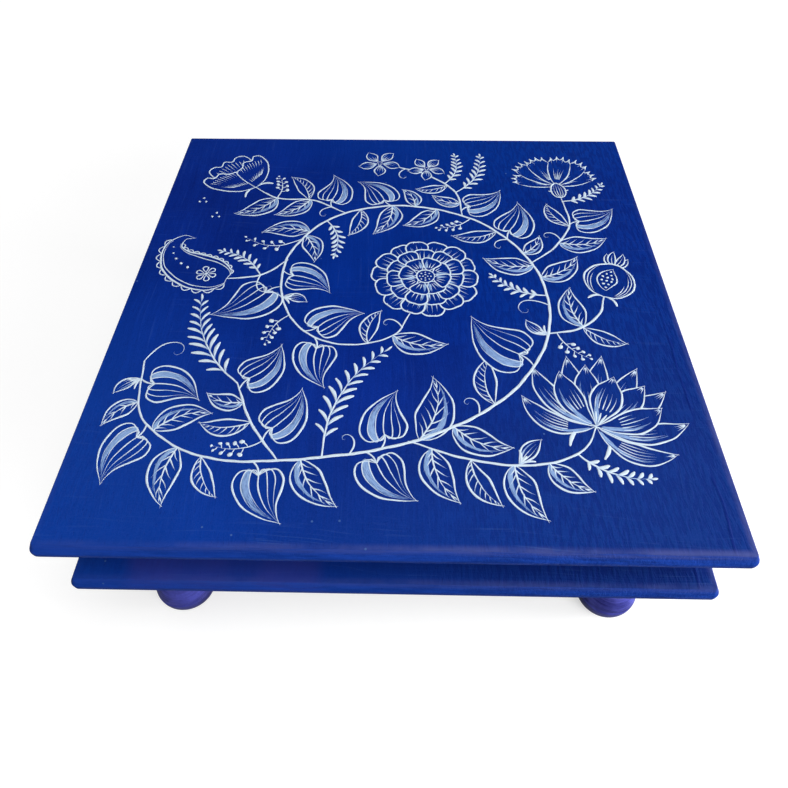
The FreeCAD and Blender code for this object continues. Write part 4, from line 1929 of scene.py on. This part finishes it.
@dataclass(frozen=True)
class PhotoCamera:
    """The photograph's camera: a small lens, held above the front edge and tilted down at the top."""

    place: tuple[float, float, float] = (0.00643, -0.29497, 0.45526)
    tilt_down: float = 54.403
    turn_left: float = 1.24
    lean: float = -0.266
    sensor: float = 36.0
    lens: float = 26.738
    shift: tuple[float, float] = (-0.00611, -0.00235)
    nearest: float = 0.01

    def build(self) -> bpy.types.Object:
        """Set up the camera and make it the scene's.

        Returns:
            The camera.
        """
        data = bpy.data.cameras.new("photo_camera")
        data.sensor_width, data.lens, data.clip_start = self.sensor, self.lens, self.nearest
        data.shift_x, data.shift_y = self.shift
        made = put(bpy.data.objects.new("photo_camera", data))
        facing = Matrix.Identity(3)
        for degrees, axis in ((self.turn_left, "Z"), (90 - self.tilt_down, "X"), (self.lean, "Z")):
            facing = facing @ Matrix.Rotation(math.radians(degrees), 3, axis)
        made.location, made.rotation_euler = self.place, facing.to_euler()
        bpy.context.scene.camera = made
        return made


@dataclass(frozen=True)
class Studio:
    """A white paper floor, soft lamps, weak light from all round, and the camera."""

    floor_side: float = 9.0
    lamps: tuple[Lamp, ...] = (
        Lamp("overhead_lamp", azimuth=45, elevation=68, distance=1.6, side=0.9, level=0.66),
        Lamp("front_lamp", azimuth=42, elevation=28, distance=1.3, side=0.5, level=0.34),
        Lamp("side_lamp", azimuth=78, elevation=4, distance=0.9, side=0.25, level=0.66),
    )
    # the weak light at the front left and at the back right, what reflections see of walls and ceiling,
    # how steeply up the ceiling starts and is whole, and how far the front left and back right corners are
    fill: Range = (0.06, 0.5)
    mirrored: Range = (0.03, 0.8)
    ceiling: Range = (0.68, 0.98)
    corners: Range = (-1.4, 1.4)

    def build(self) -> list[bpy.types.Object]:
        """Set the studio up.

        Returns:
            The floor.
        """
        bpy.context.scene.view_settings.view_transform = "Standard"
        for part in (*self.lamps, PhotoCamera()):
            part.build()
        self.light_all_round()
        half = self.floor_side / 2
        mesh = bpy.data.meshes.new("studio_floor")
        corners = [(x * half, y * half, 0) for x, y in ((-1, -1), (1, -1), (1, 1), (-1, 1))]
        mesh.from_pydata(corners, [], [(0, 1, 2, 3)])
        mesh.materials.append(StudioFloor("white paper").material())
        floor = put(bpy.data.objects.new("studio_floor", mesh))
        return [floor]

    def light_all_round(self) -> None:
        """Light the scene from all round, least from the front left, before a background that looks white.

        Reflections see a bright ceiling above dim walls.
        """
        world = bpy.data.worlds.new("studio")
        bpy.context.scene.world = world
        world.use_nodes = True
        w = Wiring(world.node_tree)
        lit, glossy = (w.output("LightPath", name) for name in ("Is Diffuse Ray", "Is Glossy Ray"))
        rightward, rearward, upward = w.output("TexCoord", "Generated").parts()
        fill = (rightward + rearward).ramp(*self.corners, *self.fill)
        seen = upward.ramp(*self.ceiling, *self.mirrored)
        strength = 1.0 - lit * (1.0 - fill) - glossy * (1.0 - seen)
        w.fill(world.node_tree.nodes["Background"], {"Color": WHITE, "Strength": strength})


def main() -> None:
    """Build and dress the table, then the studio around it."""
    logging.basicConfig(level=logging.INFO, format="%(name)s: %(message)s")
    for assembly in (Boards(), SpacerFrame(), Legs(), Screws(), Flowers(), Studio()):
        for piece in assembly.build():
            LOG.info("%s: %s, %d faces", type(assembly).__name__, piece.name, len(piece.data.polygons))


if __name__ == "__main__":
    main()
